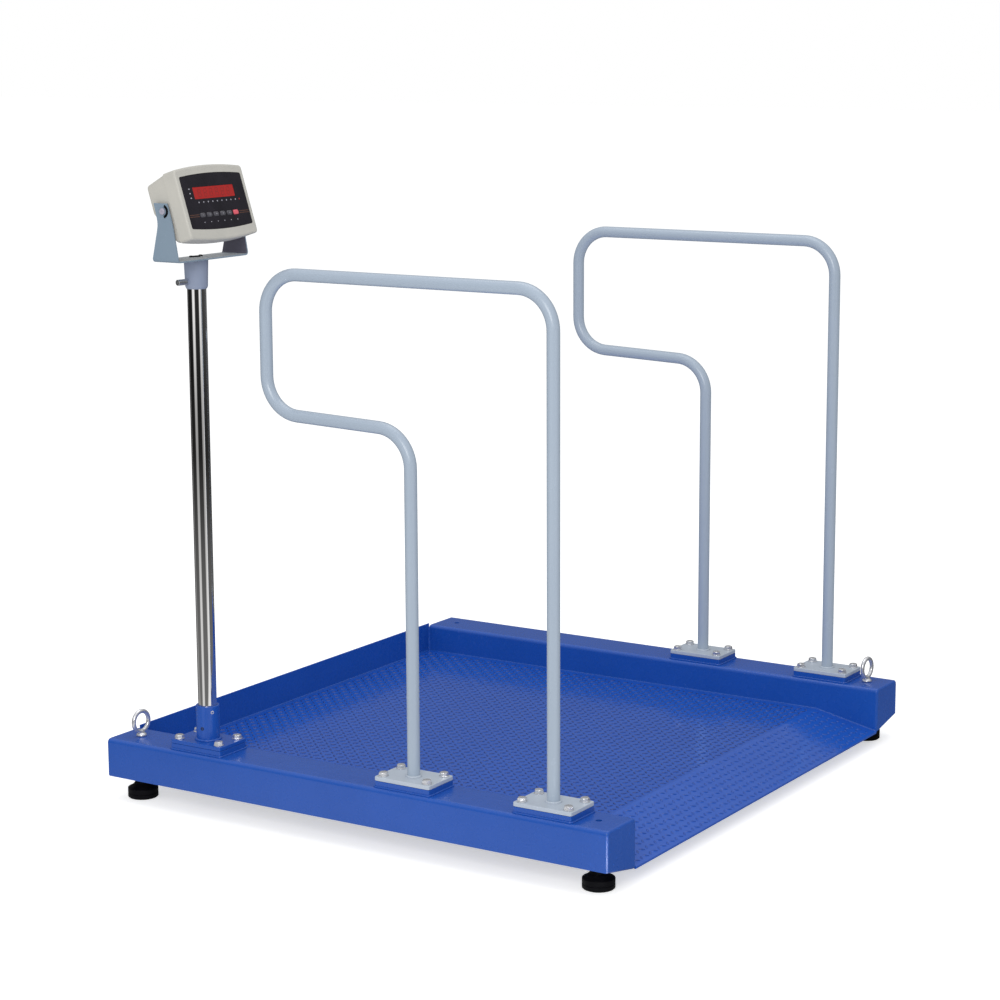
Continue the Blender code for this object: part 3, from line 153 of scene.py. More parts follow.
def make_camera():
    yaw, pitch, roll = (math.radians(angle) for angle in CAMERA_ANGLES)
    ahead = Vector((-math.sin(yaw) * math.cos(pitch), math.cos(yaw) * math.cos(pitch), -math.sin(pitch)))
    level = Vector((math.cos(yaw), math.sin(yaw), 0))
    above = level.cross(ahead)
    right = level * math.cos(roll) + above * math.sin(roll)
    up = above * math.cos(roll) - level * math.sin(roll)
    data = bpy.data.cameras.new("camera")
    data.lens = LENS
    data.sensor_width = 36
    data.clip_end = 100
    camera = add_object("camera", data)
    camera.matrix_world = at(*CAMERA_PLACE) @ Matrix((right, up, -ahead)).transposed().to_4x4()
    bpy.context.scene.camera = camera


# Materials

WAVE_SCALE = 55.0
NOISE_RANGE = (0.3, 0.7)
GLOW_COLOUR = (1.0, 0.05, 0.04, 1)


def fill(tree, socket, value):
    """Links a socket to another one, or gives it a value of its own."""
    if isinstance(value, bpy.types.NodeSocket):
        tree.links.new(value, socket)
    else:
        socket.default_value = value


def add_node(tree, kind, **sockets):
    node = tree.nodes.new(kind)
    for name, value in sockets.items():
        fill(tree, node.inputs[name.replace("_", " ")], value)
    return node


def noise(tree, scale, detail, stretch=(1, 1, 1)):
    """Noise in the part's own metres, stretched along an axis where asked."""
    place = add_node(tree, "ShaderNodeTexCoord").outputs["Object"]
    mapping = add_node(tree, "ShaderNodeMapping", Vector=place, Scale=stretch)
    texture = add_node(tree, "ShaderNodeTexNoise", Vector=mapping.outputs["Vector"], Scale=scale, Detail=detail)
    return texture.outputs["Fac"]


def calculate(tree, operation, first, second):
    """The result of an operation on two values, each a socket or a number."""
    node = add_node(tree, "ShaderNodeMath")
    node.operation = operation
    fill(tree, node.inputs[0], first)
    fill(tree, node.inputs[1], second)
    return node.outputs[0]


def map_range(tree, value, from_range, to_range, kind="LINEAR"):
    node = add_node(tree, "ShaderNodeMapRange", Value=value, From_Min=from_range[0], From_Max=from_range[1],
                    To_Min=to_range[0], To_Max=to_range[1])
    node.interpolation_type = kind
    return node.outputs["Result"]


def spread(tree, texture, low, high):
    """Turns noise into a range of values."""
    return map_range(tree, texture, NOISE_RANGE, (low, high))


def blend_colours(tree, factor, first, second):
    node = add_node(tree, "ShaderNodeMix", Factor=factor)
    node.data_type = "RGBA"
    node.inputs["A"].default_value = (*first, 1)
    node.inputs["B"].default_value = (*second, 1)
    return node.outputs["Result"]


def add_bump(tree, height, distance, **under):
    return add_node(tree, "ShaderNodeBump", Strength=1.0, Distance=distance, Height=height, **under).outputs[0]


def surface(name, colour, other, roughness, patches, grain, grain_height, metallic=0.0, specular=0.5,
            patch_stretch=(1, 1, 1), grain_stretch=(1, 1, 1), wave=0.0, glow=0.0):
    """A material with soft colour patches, a range of roughness, a fine grain and a slow wave."""
    material = bpy.data.materials.new(name)
    material.use_nodes = True
    tree = material.node_tree
    patch = spread(tree, noise(tree, patches, 4.0, patch_stretch), 0, 1)
    normal = add_bump(tree, noise(tree, grain, 2.0, grain_stretch), grain_height)
    if wave:
        normal = add_bump(tree, noise(tree, WAVE_SCALE, 1.0), wave, Normal=normal)
    looks = {
        "Metallic": metallic,
        "Specular IOR Level": specular,
        "Base Color": blend_colours(tree, patch, colour, other),
        "Roughness": spread(tree, noise(tree, patches * 6, 5.0, patch_stretch), *roughness),
        "Normal": normal,
    }
    if glow:
        looks.update({"Emission Color": GLOW_COLOUR, "Emission Strength": glow})
    for socket, value in looks.items():
        fill(tree, tree.nodes["Principled BSDF"].inputs[socket], value)
    return material


# Name, two colours, range of roughness, scale of patches, scale and height of grain, and what differs from
# surface()'s defaults. The window is a red filter: deep, clear and glossy, with a faint red glow that is
# painted light, as the display is unlit.
SURFACES = (
    ("frame_paint", (0.009, 0.079, 0.410), (0.011, 0.085, 0.435), (0.22, 0.32), 9, 420, 8e-6,
     dict(wave=5e-5)),
    ("deck_paint", (0.012, 0.093, 0.500), (0.015, 0.102, 0.530), (0.12, 0.18), 9, 420, 2e-5, dict(wave=6e-4)),
    # Painted shade: darker copies of the deck's paint for the tread bars on the ramp and on the deck
    ("ramp_paint", (0.007, 0.066, 0.370), (0.009, 0.074, 0.400), (0.14, 0.20), 25, 420, 2e-5, {}),
    ("tread_painted_shade", (0.003, 0.036, 0.230), (0.004, 0.044, 0.270), (0.24, 0.34), 25, 420, 2e-5, {}),
    ("handrail_paint", (0.378, 0.450, 0.545), (0.398, 0.470, 0.565), (0.24, 0.28), 3, 420, 8e-6, {}),
    ("flange_paint", (0.45, 0.51, 0.60), (0.50, 0.56, 0.64), (0.30, 0.42), 9, 420, 5e-5, dict(wave=1.5e-4)),
    ("bracket_paint", (0.225, 0.300, 0.380), (0.245, 0.315, 0.395), (0.20, 0.28), 9, 1400, 2e-5, {}),
    # Painted shade: a dark copy of the bracket's paint for the arms' inner faces
    ("bracket_shade", (0.100, 0.096, 0.130), (0.125, 0.120, 0.160), (0.45, 0.6), 9, 1400, 5e-5,
     dict(specular=0.2)),
    # Painted highlight: a pale colour for the bracket base's top, standing in for its gloss
    ("bracket_painted_highlight", (0.58, 0.62, 0.66), (0.61, 0.65, 0.69), (0.38, 0.46), 40, 1400, 3e-5, {}),
    ("knob_plastic", (0.34, 0.33, 0.41), (0.40, 0.385, 0.47), (0.35, 0.45), 60, 1800, 3e-5, {}),
    ("adapter_paint", (0.265, 0.310, 0.425), (0.29, 0.33, 0.44), (0.34, 0.44), 9, 1400, 3e-5,
     dict(specular=0.35)),
    ("stainless", (0.80, 0.79, 0.78), (0.86, 0.85, 0.84), (0.035, 0.060), 14, 1600, 2e-6,
     dict(metallic=1, patch_stretch=(1, 1, 0.06), grain_stretch=(1, 1, 0.02))),
    ("zinc", (0.66, 0.67, 0.71), (0.76, 0.77, 0.80), (0.20, 0.32), 60, 1800, 2e-5, dict(metallic=0.75)),
    ("alloy", (0.60, 0.61, 0.62), (0.66, 0.67, 0.68), (0.30, 0.42), 40, 1200, 2e-5,
     dict(metallic=1, grain_stretch=(0.03, 1, 1))),
    ("rubber", (0.0020, 0.0020, 0.0035), (0.0045, 0.0045, 0.0065), (0.45, 0.62), 50, 1500, 8e-5,
     dict(specular=0.08)),
    ("housing_plastic", (0.515, 0.505, 0.465), (0.55, 0.535, 0.49), (0.42, 0.52), 20, 2400, 6e-5,
     dict(specular=0.35)),
    ("panel_plastic", (0.010, 0.009, 0.014), (0.016, 0.014, 0.021), (0.26, 0.36), 30, 2600, 1e-5,
     dict(specular=0.35)),
    ("key_plastic", (0.070, 0.068, 0.082), (0.095, 0.092, 0.108), (0.26, 0.36), 90, 2600, 2e-5, {}),
    ("stop_key_plastic", (0.72, 0.105, 0.145), (0.80, 0.14, 0.18), (0.26, 0.36), 90, 2600, 2e-5, {}),
    ("board", (0.012, 0.10, 0.035), (0.020, 0.14, 0.05), (0.35, 0.5), 120, 1500, 3e-5, {}),
    ("battery_plastic", (0.045, 0.045, 0.050), (0.060, 0.060, 0.065), (0.4, 0.55), 30, 1800, 4e-5, {}),
    ("box_plastic", (0.34, 0.35, 0.36), (0.38, 0.39, 0.40), (0.45, 0.58), 30, 1800, 6e-5, {}),
    ("gland_nylon", (0.018, 0.018, 0.019), (0.028, 0.028, 0.030), (0.40, 0.55), 80, 2000, 4e-5, {}),
    ("print_grey", (0.34, 0.34, 0.40), (0.46, 0.45, 0.50), (0.45, 0.6), 300, 3000, 5e-6, {}),
    ("print_dim", (0.26, 0.26, 0.29), (0.34, 0.34, 0.37), (0.45, 0.6), 300, 3000, 5e-6, {}),
    ("print_brown", (0.13, 0.055, 0.035), (0.16, 0.070, 0.040), (0.45, 0.6), 300, 3000, 5e-6, {}),
    ("segment", (0.26, 0.018, 0.017), (0.30, 0.022, 0.019), (0.2, 0.3), 300, 3000, 4e-6, {}),
    ("lamp_red", (0.40, 0.02, 0.02), (0.48, 0.03, 0.03), (0.2, 0.3), 300, 3000, 4e-6, {}),
    ("black_steel", (0.020, 0.020, 0.022), (0.040, 0.040, 0.042), (0.30, 0.45), 90, 2000, 3e-5,
     dict(metallic=0.6)),
    ("sealant", (0.58, 0.58, 0.56), (0.66, 0.66, 0.63), (0.45, 0.6), 60, 500, 1e-4, {}),
    # Painted light: the unlit window glows faintly red
    ("window_plastic", (0.34, 0.016, 0.016), (0.40, 0.024, 0.022), (0.12, 0.18), 9, 900, 4e-6,
     dict(specular=0.35, glow=0.03)),
)
materials = {name: surface(name, *looks, **extras) for name, *looks, extras in SURFACES}


# Meshes

def keep_flats(mesh, sharp):
    """Weighs normals by area, so that wide faces stay flat beside their rounded edges."""
    limit = math.cos(math.radians(sharp))
    around = [[] for vertex in mesh.vertices]
    faces = [(face.normal.copy(), face.area) for face in mesh.polygons]
    for face in mesh.polygons:
        for corner in face.vertices:
            around[corner].append(face.index)
    normals = [None] * len(mesh.loops)
    for face in mesh.polygons:
        own = faces[face.index][0]
        for corner in face.loop_indices:
            total = Vector()
            for other in around[mesh.loops[corner].vertex_index]:
                normal, area = faces[other]
                if normal.dot(own) > limit:
                    total += normal * area
            normals[corner] = total.normalized() if total.length > 0 else own
    mesh.normals_split_custom_set(normals)


def finished_mesh(name, bm):
    mesh = bpy.data.meshes.new(name)
    bm.to_mesh(mesh)
    bm.free()
    return mesh


def add_piece(name, bm, material, body, sharp=40.0, flats=True):
    """A finished piece from a bmesh in the CAD frame, which rides on a body."""
    bmesh.ops.recalc_face_normals(bm, faces=bm.faces)
    mesh = finished_mesh(name, bm)
    mesh.shade_smooth()
    mesh.set_sharp_from_angle(angle=math.radians(sharp))
    if flats:
        keep_flats(mesh, sharp)
    mesh.materials.append(materials[material])
    piece = add_object(name, mesh)
    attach(piece, body)
    return piece


def arc(centre, radius, start, end, steps):
    angles = [math.radians(start + (end - start) * step / steps) for step in range(steps + 1)]
    return [(centre[0] + radius * math.cos(angle), centre[1] + radius * math.sin(angle)) for angle in angles]


def circle(radius, steps, across=0.0, up=0.0):
    return arc((across, up), radius, 0, 360, steps)[:-1]


def rounded_rectangle(width, height, radius, steps=4):
    across = width / 2 - radius
    up = height / 2 - radius
    corners = ((across, up, 0), (-across, up, 90), (-across, -up, 180), (across, -up, 270))
    return [point for a, b, turn in corners for point in arc((a, b), radius, turn, turn + 90, steps)]


def add_skin(bm, rings, closed=False):
    """A skin over rings of points, capped at both ends unless the rings close on themselves."""
    loops = [[bm.verts.new(point) for point in ring] for ring in rings]
    pairs = list(zip(loops, loops[1:]))
    if closed:
        pairs.append((loops[-1], loops[0]))
    for near, far in pairs:
        for index in range(len(near)):
            after = (index + 1) % len(near)
            bm.faces.new((near[index], near[after], far[after], far[index]))
    if not closed:
        bm.faces.new(loops[0])
        bm.faces.new(reversed(loops[-1]))


def turned_rings(profile, sides, shape=None):
    """Rings about Z from (radius, height) points. A shape gives a radius for each angle and point."""
    rings = []
    for radius, height in profile:
        ring = []
        for side in range(sides):
            angle = 2 * math.pi * side / sides
            reach = shape(radius, height, angle) if shape else radius
            ring.append(Vector((reach * math.cos(angle), reach * math.sin(angle), height)))
        rings.append(ring)
    return rings


def placed(rings, place):
    return [[place @ point for point in ring] for ring in rings]


def add_turned(bm, profile, sides, place, shape=None, closed=False):
    add_skin(bm, placed(turned_rings(profile, sides, shape), place), closed)


def turned_piece(name, profile, sides, place, material, body, closed=False, shape=None):
    bm = bmesh.new()
    add_turned(bm, profile, sides, place, shape, closed)
    return add_piece(name, bm, material, body)


def rounded_profile(corners, steps=4):
    """A profile whose corners are rounded where a third number gives a radius."""
    points = []
    for index, corner in enumerate(corners):
        if len(corner) < 3 or not 0 < index < len(corners) - 1:
            points.append(Vector(corner[:2]))
            continue
        here = Vector(corner[:2])
        back = (Vector(corners[index - 1][:2]) - here).normalized()
        ahead = (Vector(corners[index + 1][:2]) - here).normalized()
        half = back.angle(ahead) / 2
        reach = corner[2] / math.tan(half)
        start = here + back * reach
        end = here + ahead * reach
        for step in range(steps + 1):
            share = step / steps
            points.append(start * (1 - share) ** 2 + here * 2 * share * (1 - share) + end * share ** 2)
    return [tuple(point) for point in points]


def sweep(points, radius_at, sides, closed=False, first_across=None):
    """Rings round a line of points. The ring's shape may change along the line."""
    count = len(points)
    rings = []
    across = first_across
    for index, point in enumerate(points):
        before = points[index - 1] if closed or index else point
        after = points[(index + 1) % count] if closed or index + 1 < count else point
        ahead = (after - before).normalized()
        if across is None:
            across = ahead.orthogonal()
        across = (across - ahead * across.dot(ahead)).normalized()
        up = ahead.cross(across)
        ring = []
        for side in range(sides):
            angle = 2 * math.pi * side / sides
            ring.append(point + (across * math.cos(angle) + up * math.sin(angle)) * radius_at(index, angle))
        rings.append(ring)
    return rings


def resampled(points, step, closed=False):
    """Points at even steps along a line."""
    line = [Vector(point) for point in points]
    if closed:
        line.append(line[0])
    result = []
    for start, end in zip(line, line[1:]):
        length = (end - start).length
        count = max(1, round(length / step))
        result += [start.lerp(end, index / count) for index in range(count)]
    if not closed:
        result.append(line[-1])
    return result


def hex_reach(flat, cap):
    """The reach of a hexagon with a chamfer: the flats' half width and the turned cap's radius."""
    def reach(radius, height, angle):
        turn = (math.degrees(angle) + 30) % 60 - 30
        return min(flat * radius / math.cos(math.radians(turn)), cap(height))
    return reach


# Welds, as a real bead has overlapping ripples

STITCHES = 8
STITCH_START = 0.06
STITCH_Z = DECK_TOP_Z - 0.0056
STITCH_PITCH = 0.135
STITCH_LENGTH = 0.045


def add_weld(name, runs, radius, material="frame_paint", closed=False, sides=8):
    def reach(index, angle):
        ripple = 0.10 * math.sin(index * 1.9) + 0.05 * math.sin(index * 0.71 + angle)
        return radius * (1 + ripple)

    bm = bmesh.new()
    for run in runs:
        points = resampled(run, radius * 0.75, closed)
        add_skin(bm, sweep(points, reach, sides, closed), closed)
    add_piece(name, bm, material, "platform", sharp=60.0)


def plate_outline(x, y, z, grow):
    outline = rounded_rectangle(FLANGE_LENGTH + 2 * grow, FLANGE_WIDTH + 2 * grow, FLANGE_CORNER + grow)
    return [(x + a, y + b, z) for a, b in outline]


def ring_points(x, y, z, radius):
    return [(x + a, y + b, z) for a, b in circle(radius, 48)]


def make_welds():
    low_y, high_y = (DECK_MIDDLE_Y + side * DECK_HALF_WIDTH for side in (-1, 1))
    lip_x = PLATFORM_HALF_LENGTH - 0.002
    seams = [[(WALL_FRONT_X, y, DECK_TOP_Z), (FOLD_X, y, DECK_TOP_Z), (lip_x, y, LIP_TOP_Z)]
             for y in (low_y, high_y)]
    add_weld("deck_side_welds", seams, 0.0022)
    rear = [(WALL_FRONT_X, low_y, DECK_TOP_Z), (WALL_FRONT_X, high_y, DECK_TOP_Z)]
    add_weld("deck_rear_weld", [rear], 0.0026)
    corners = [[(WALL_FRONT_X, y, DECK_TOP_Z), (WALL_FRONT_X, y, WALL_TOP_Z - 0.010)] for y in (low_y, high_y)]
    add_weld("wall_corner_welds", corners, 0.0052, sides=12)
    for name, (x, y) in STATIONS.items():
        add_weld(f"{name}_pad_weld", [plate_outline(x, y, PAD_BOTTOM_Z + 0.0006, 0.0006)], 0.0021, closed=True)
    for name, (x, y) in LEGS.items():
        add_weld(f"{name}_leg_weld", [ring_points(x, y, FLANGE_TOP_Z + 0.0008, HANDRAIL_RADIUS + 0.0010)],
                 0.0026, "flange_paint", closed=True)
    add_weld("post_socket_weld", [ring_points(POST_X, LEFT_Y, FLANGE_TOP_Z + 0.0010, SOCKET_RADIUS + 0.0008)],
             0.0032, closed=True)
    runs = []
    for index in range(1, 5):
        low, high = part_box(f"deck_channel_{index}")
        for x in (low.x, high.x):
            for step in range(STITCHES):
                start = low_y + STITCH_START + step * STITCH_PITCH
                runs.append([(x, start, STITCH_Z), (x, start + STITCH_LENGTH, STITCH_Z)])
    add_weld("channel_stitch_welds", runs, 0.0022, sides=6)


# Rails, plates and rear wall with their rounded edges

RAIL_ROUND = 0.0062
WALL_ROUND = 0.0012
FLANGE_ROUND = 0.0011
PAD_ROUND = 0.0009


def refine(node, width, wanted, segments=3):
    """A copy of a CAD node with chosen edges rounded, which stands for the node."""
    bm = bmesh.new()
    bm.from_mesh(nodes[node].data)
    bmesh.ops.remove_doubles(bm, verts=bm.verts, dist=0.00001)
    bmesh.ops.dissolve_limit(bm, angle_limit=math.radians(0.8), verts=bm.verts, edges=bm.edges)
    edges = []
    for edge in bm.edges:
        if len(edge.link_faces) == 2 and math.degrees(edge.calc_face_angle(0)) > 35:
            if wanted(edge.verts[0].co, edge.verts[1].co):
                edges.append(edge)
    bmesh.ops.bevel(bm, geom=edges, offset=width, segments=segments, profile=0.5, affect="EDGES",
                    clamp_overlap=True)
    body = nodes[node]["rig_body"]
    slot = next(part["material_slot"] for part in frame["record"]["subparts"] if part["node"] == node)
    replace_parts(add_piece(f"{node}_shell", bm, slot, body, sharp=38.0), node)


def make_rails():
    for name in ("left_rail", "right_rail"):
        refine(name, RAIL_ROUND, lambda a, b: min(abs(a.x), abs(b.x)) > PLATFORM_HALF_LENGTH - 0.0005, 5)
    refine("rear_wall", WALL_ROUND, lambda a, b: min(a.z, b.z) > WALL_TOP_Z - 0.0005 and abs(a.y - b.y) > 0.01)
    for node in [f"{leg}_leg_flange" for leg in LEGS] + ["post_base_plate"]:
        refine(node, FLANGE_ROUND, outer_edge(node))
    for node in [f"{leg}_leg_pad" for leg in LEGS] + ["post_pad"]:
        refine(node, PAD_ROUND, outer_edge(node))


def outer_edge(node):
    """Picks a plate's rim, above and below, and leaves its bolt holes."""
    low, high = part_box(node)

    def wanted(a, b):
        middle = (a + b) / 2
        inset = min(middle.x - low.x, high.x - middle.x, middle.y - low.y, high.y - middle.y)
        return inset < 0.004 and abs(a.z - b.z) < 0.0001

    return wanted


# Raised pattern of the deck: lens-shaped bars, each at right angles to its neighbours. The bars' paint is a
# darker copy of the deck's, a painted shade.
TREAD_PITCH = 0.0170
TREAD_LENGTH = 0.0140
TREAD_WIDTH = 0.0050
TREAD_HEIGHT = 0.0015
TREAD_SIDES = 8
TREAD_INSET = 0.020
# A bar's rings, from its foot up: share of the full outline and height
TREAD_RINGS = ((1, -0.0002), (0.86, TREAD_HEIGHT * 0.62), (0.52, TREAD_HEIGHT))


def tread_ring(place, turn, share, height):
    """A ring of a bar: its outline at one share of its full size."""
    ring = []
    for side in range(TREAD_SIDES):
        angle = 2 * math.pi * side / TREAD_SIDES
        along = math.cos(angle) * TREAD_LENGTH / 2 * share
        across = math.copysign(abs(math.sin(angle)) ** 1.35, math.sin(angle)) * TREAD_WIDTH / 2 * share
        spot = Vector((along * math.cos(turn) - across * math.sin(turn),
                       along * math.sin(turn) + across * math.cos(turn), height))
        ring.append(place @ spot)
    return ring


def make_tread():
    fall, run = DECK_TOP_Z - LIP_TOP_Z, PLATFORM_HALF_LENGTH - FOLD_X
    ramp = at(FOLD_X, 0, DECK_TOP_Z) @ Matrix.Rotation(math.atan2(fall, run), 4, "Y")
    flat = at(0, 0, DECK_TOP_Z)
    for name, base, start, end, material in (
        ("deck_tread", flat, WALL_FRONT_X + TREAD_INSET, FOLD_X - 0.012, "tread_painted_shade"),
        ("ramp_tread", ramp, 0.013, math.hypot(fall, run) - 0.013, "ramp_paint"),
    ):
        bm = bmesh.new()
        columns = int((end - start) / TREAD_PITCH)
        rows = int((2 * DECK_HALF_WIDTH - 2 * TREAD_INSET) / TREAD_PITCH)
        for column in range(columns + 1):
            for row in range(rows + 1):
                x = start + (end - start) * column / columns
                y = DECK_MIDDLE_Y + (row - rows / 2) * TREAD_PITCH
                turn = math.radians(45 if (row + column) % 2 else -45)
                place = base @ at(x, y, 0)
                add_skin(bm, [tread_ring(place, turn, share, height) for share, height in TREAD_RINGS])
        add_piece(name, bm, material, "platform", 60.0, False)


# Handrails, post, socket and adapter

BEND_STEPS = 14
BEND_RADIUS = 0.075
HANDRAIL_TOP_Z = 1.110
HANDRAIL_LOWER_Z = 0.8375
ARM_X = -0.202
# The tubes stand this far above their plates, and a bore is this much wider than its tube
GAP = 0.0003
TUBE_FOOT_Z = FLANGE_TOP_Z + GAP
BORE = POST_RADIUS + GAP
POST_AXIS = at(POST_X, LEFT_Y, 0)
RIDGES = 26
RIDGE_HEIGHT = 0.00022


def corner_bend(before, corner, after, radius):
    corner = Vector(corner)
    back = (Vector(before) - corner).normalized()
    ahead = (Vector(after) - corner).normalized()
    half = back.angle(ahead) / 2
    centre = corner + (back + ahead).normalized() * radius / math.sin(half)
    start = corner + back * radius / math.tan(half) - centre
    end = corner + ahead * radius / math.tan(half) - centre
    turn = start.angle_signed(end)
    return [centre + Matrix.Rotation(-turn * step / BEND_STEPS, 2) @ start for step in range(BEND_STEPS + 1)]


def make_handrails():
    front_x = LEGS["front_left"][0]
    rear_x = LEGS["rear_left"][0]
    rear_z = HANDRAIL_LOWER_Z - math.tan(math.radians(2)) * (rear_x - ARM_X)
    corners = [(front_x, TUBE_FOOT_Z), (front_x, HANDRAIL_TOP_Z), (ARM_X, HANDRAIL_TOP_Z),
               (ARM_X, HANDRAIL_LOWER_Z), (rear_x, rear_z), (rear_x, TUBE_FOOT_Z)]
    path = [Vector(corners[0])]
    for before, corner, after in zip(corners, corners[1:], corners[2:]):
        path += corner_bend(before, corner, after, BEND_RADIUS)
    path.append(Vector(corners[-1]))
    for name, y in (("left", LEFT_Y), ("right", RIGHT_Y)):
        points = [Vector((point.x, y, point.y)) for point in path]
        bm = bmesh.new()
        add_skin(bm, sweep(points, lambda index, angle: HANDRAIL_RADIUS, 36, first_across=Vector((0, 1, 0))))
        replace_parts(add_piece(f"{name}_handrail_tube", bm, "handrail_paint", "platform"), f"{name}_handrail")


def make_post():
    inner = POST_RADIUS - POST_WALL
    profile = [(inner, TUBE_FOOT_Z), (POST_RADIUS, TUBE_FOOT_Z), (POST_RADIUS, POST_TOP_Z),
               (inner, POST_TOP_Z)]
    tube = turned_piece("post_bright_tube", profile, 72, POST_AXIS, "stainless", "platform", closed=True)
    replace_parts(tube, "post_tube")
    profile = rounded_profile([(BORE, TUBE_FOOT_Z), (SOCKET_RADIUS, TUBE_FOOT_Z),
                               (SOCKET_RADIUS, SOCKET_TOP_Z, 0.0016), (BORE, SOCKET_TOP_Z, 0.0010),
                               (BORE, SOCKET_TOP_Z - 0.004)], 3)
    sleeve = turned_piece("post_socket_sleeve", profile, 72, POST_AXIS, "frame_paint", "platform", closed=True)
    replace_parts(sleeve, "post_socket")
    back, face = BORE + 0.0002, SOCKET_RADIUS + 0.0006
    profile = [(0.0001, back), (0.0036, back), (0.0036, face - 0.0004), (0.0032, face), (0.0017, face),
               (0.0016, face - 0.0022), (0.0001, face - 0.0024)]
    for index, (turn, share, material) in enumerate(((-28.0, 0.83, "zinc"), (-81.0, 0.36, "black_steel"))):
        spot = at(POST_X, LEFT_Y, TUBE_FOOT_Z + share * 0.072)
        place = spot @ turned(turn, "Z") @ turned(90, "Y")
        turned_piece(f"set_screw_{index + 1}", profile, 24, place, material, "platform")


def make_adapter():
    profile = rounded_profile([
        (0.0055, CUP_TOP_Z - 0.006), (0.0055, CUP_TOP_Z), (0.0243, CUP_TOP_Z, 0.0008),
        (0.0224, CUP_BOTTOM_Z + 0.0045, 0.001), (0.0202, CUP_BOTTOM_Z, 0.0004), (BORE, CUP_BOTTOM_Z),
        (BORE, CUP_TOP_Z - 0.006),
    ])
    cup = turned_piece("adapter_cup", profile, 72, POST_AXIS, "adapter_paint", "head", closed=True)
    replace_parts(cup, "post_adapter")

    place = at(POST_X, LEFT_Y, CUP_BOTTOM_Z + 0.015) @ turned(-100, "Z") @ turned(90, "Y")
    boss = rounded_profile([(0.0035, 0.0205), (0.0052, 0.0205), (0.0052, 0.0258, 0.0006), (0.0042, 0.0258)])
    turned_piece("clamp_boss", boss, 32, place, "adapter_paint", "head", closed=True)

    def knurled(radius, height, angle):
        ridge = RIDGE_HEIGHT * (0.5 + 0.5 * math.cos(angle * RIDGES))
        return radius - ridge if radius > 0.0055 and 0.0300 < height < 0.0470 else radius

    screw = turned_piece("clamp_cap_screw", [
        (0.0001, 0.0193), (0.0040, 0.0193), (0.0040, 0.0284), (0.0055, 0.0284), (0.0060, 0.0290),
        (0.0060, 0.0301), (0.0060, 0.0469), (0.0060, 0.0486), (0.0054, 0.0494), (0.0031, 0.0494),
        (0.0030, 0.0444), (0.0001, 0.0438),
    ], 104, place, "alloy", "clamp_screw", shape=knurled)
    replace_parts(screw, "clamp_screw")


# Bolts, washers and lifting eyes

WASHER_THICKNESS = 0.0018
HEAD_FLAT = 0.0080
HEAD_HEIGHT = 0.0066
CHAMFER = 0.0016
SHANK_RADIUS = 0.0049


def add_bolt(name, index, seat, turn, bore, reach, length):
    """A washer on a seat, and on it a hexagon bolt with its chamfered cap and plain shank."""
    edge = WASHER_THICKNESS * 0.22
    top = WASHER_THICKNESS - edge
    turned_piece(f"{name}_washer_{index + 1}", [
        (bore, 0), (reach - edge, 0), (reach, edge), (reach, top), (reach - edge, WASHER_THICKNESS),
        (bore, WASHER_THICKNESS),
    ], 32, seat, "zinc", "platform", closed=True)
    corner = HEAD_FLAT / math.cos(math.radians(30))

    def cap(z):
        fall = max(0.0, z - (HEAD_HEIGHT - CHAMFER)) / CHAMFER
        return corner - (corner - HEAD_FLAT * 0.93) * fall

    levels = [0, 0.0004, HEAD_HEIGHT - CHAMFER, HEAD_HEIGHT - 0.0010, HEAD_HEIGHT - 0.0005, HEAD_HEIGHT]
    rings = turned_rings([(SHANK_RADIUS, -length), (SHANK_RADIUS, -0.0001)], 48)
    rings += turned_rings([(1, z) for z in levels], 48, hex_reach(HEAD_FLAT, cap))
    bm = bmesh.new()
    add_skin(bm, placed(rings, seat @ at(0, 0, WASHER_THICKNESS) @ turned(turn, "Z")))
    add_piece(f"{name}_bolt_{index + 1}", bm, "zinc", "platform")


def make_flange_bolts():
    spots = [(a, b) for a in (-BOLT_HALF_X, BOLT_HALF_X) for b in (-BOLT_HALF_Y, BOLT_HALF_Y)]
    for name, (x, y) in STATIONS.items():
        for index, ((a, b), turn) in enumerate(zip(spots, (12, 41, 27, 5))):
            add_bolt(name, index, at(x + a, y + b, FLANGE_TOP_Z), turn, 0.0053, 0.0100, 0.0215)


def make_lifting_eyes():
    """Forged eyes: ring and collar flow into each other."""
    for name, x, y in (("lifting_eye_left", -FOOT_X, LEFT_Y), ("lifting_eye_right", FOOT_X, RIGHT_Y)):
        place = at(x, y, RAIL_ROOF_Z + 0.0003) @ turned(EYE_TURN, "Z")
        bm = bmesh.new()
        add_turned(bm, [(0.0108, 0), (0.0110, 0.0008), (0.0110, 0.0028), (0.0096, 0.0048), (0.0072, 0.0068),
                        (0.0062, 0.0100), (0.0050, 0.0135)], 48, place)
        angles = [2 * math.pi * step / 72 for step in range(72)]
        points = [place @ Vector((EYE_RADIUS * math.cos(angle), 0, EYE_HEIGHT + EYE_RADIUS * math.sin(angle)))
                  for angle in angles]
        add_skin(bm, sweep(points, lambda index, angle: EYE_THICKNESS, 24, closed=True), closed=True)
        rough = add_object("eye_rough", finished_mesh("eye_rough", bm))
        remesh = rough.modifiers.new("remesh", "REMESH")
        remesh.mode = "VOXEL"
        remesh.voxel_size = 0.0007
        smooth = rough.modifiers.new("smooth", "SMOOTH")
        smooth.factor = 0.5
        smooth.iterations = 8
        rough.modifiers.new("shrink", "DECIMATE").ratio = 0.35
        bm = bmesh.new()
        bm.from_mesh(rough.evaluated_get(bpy.context.evaluated_depsgraph_get()).to_mesh())
        bpy.data.objects.remove(rough)
        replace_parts(add_piece(f"{name}_forging", bm, "zinc", "platform", sharp=80.0), name)


# Feet

THREAD_PITCH = 0.00175


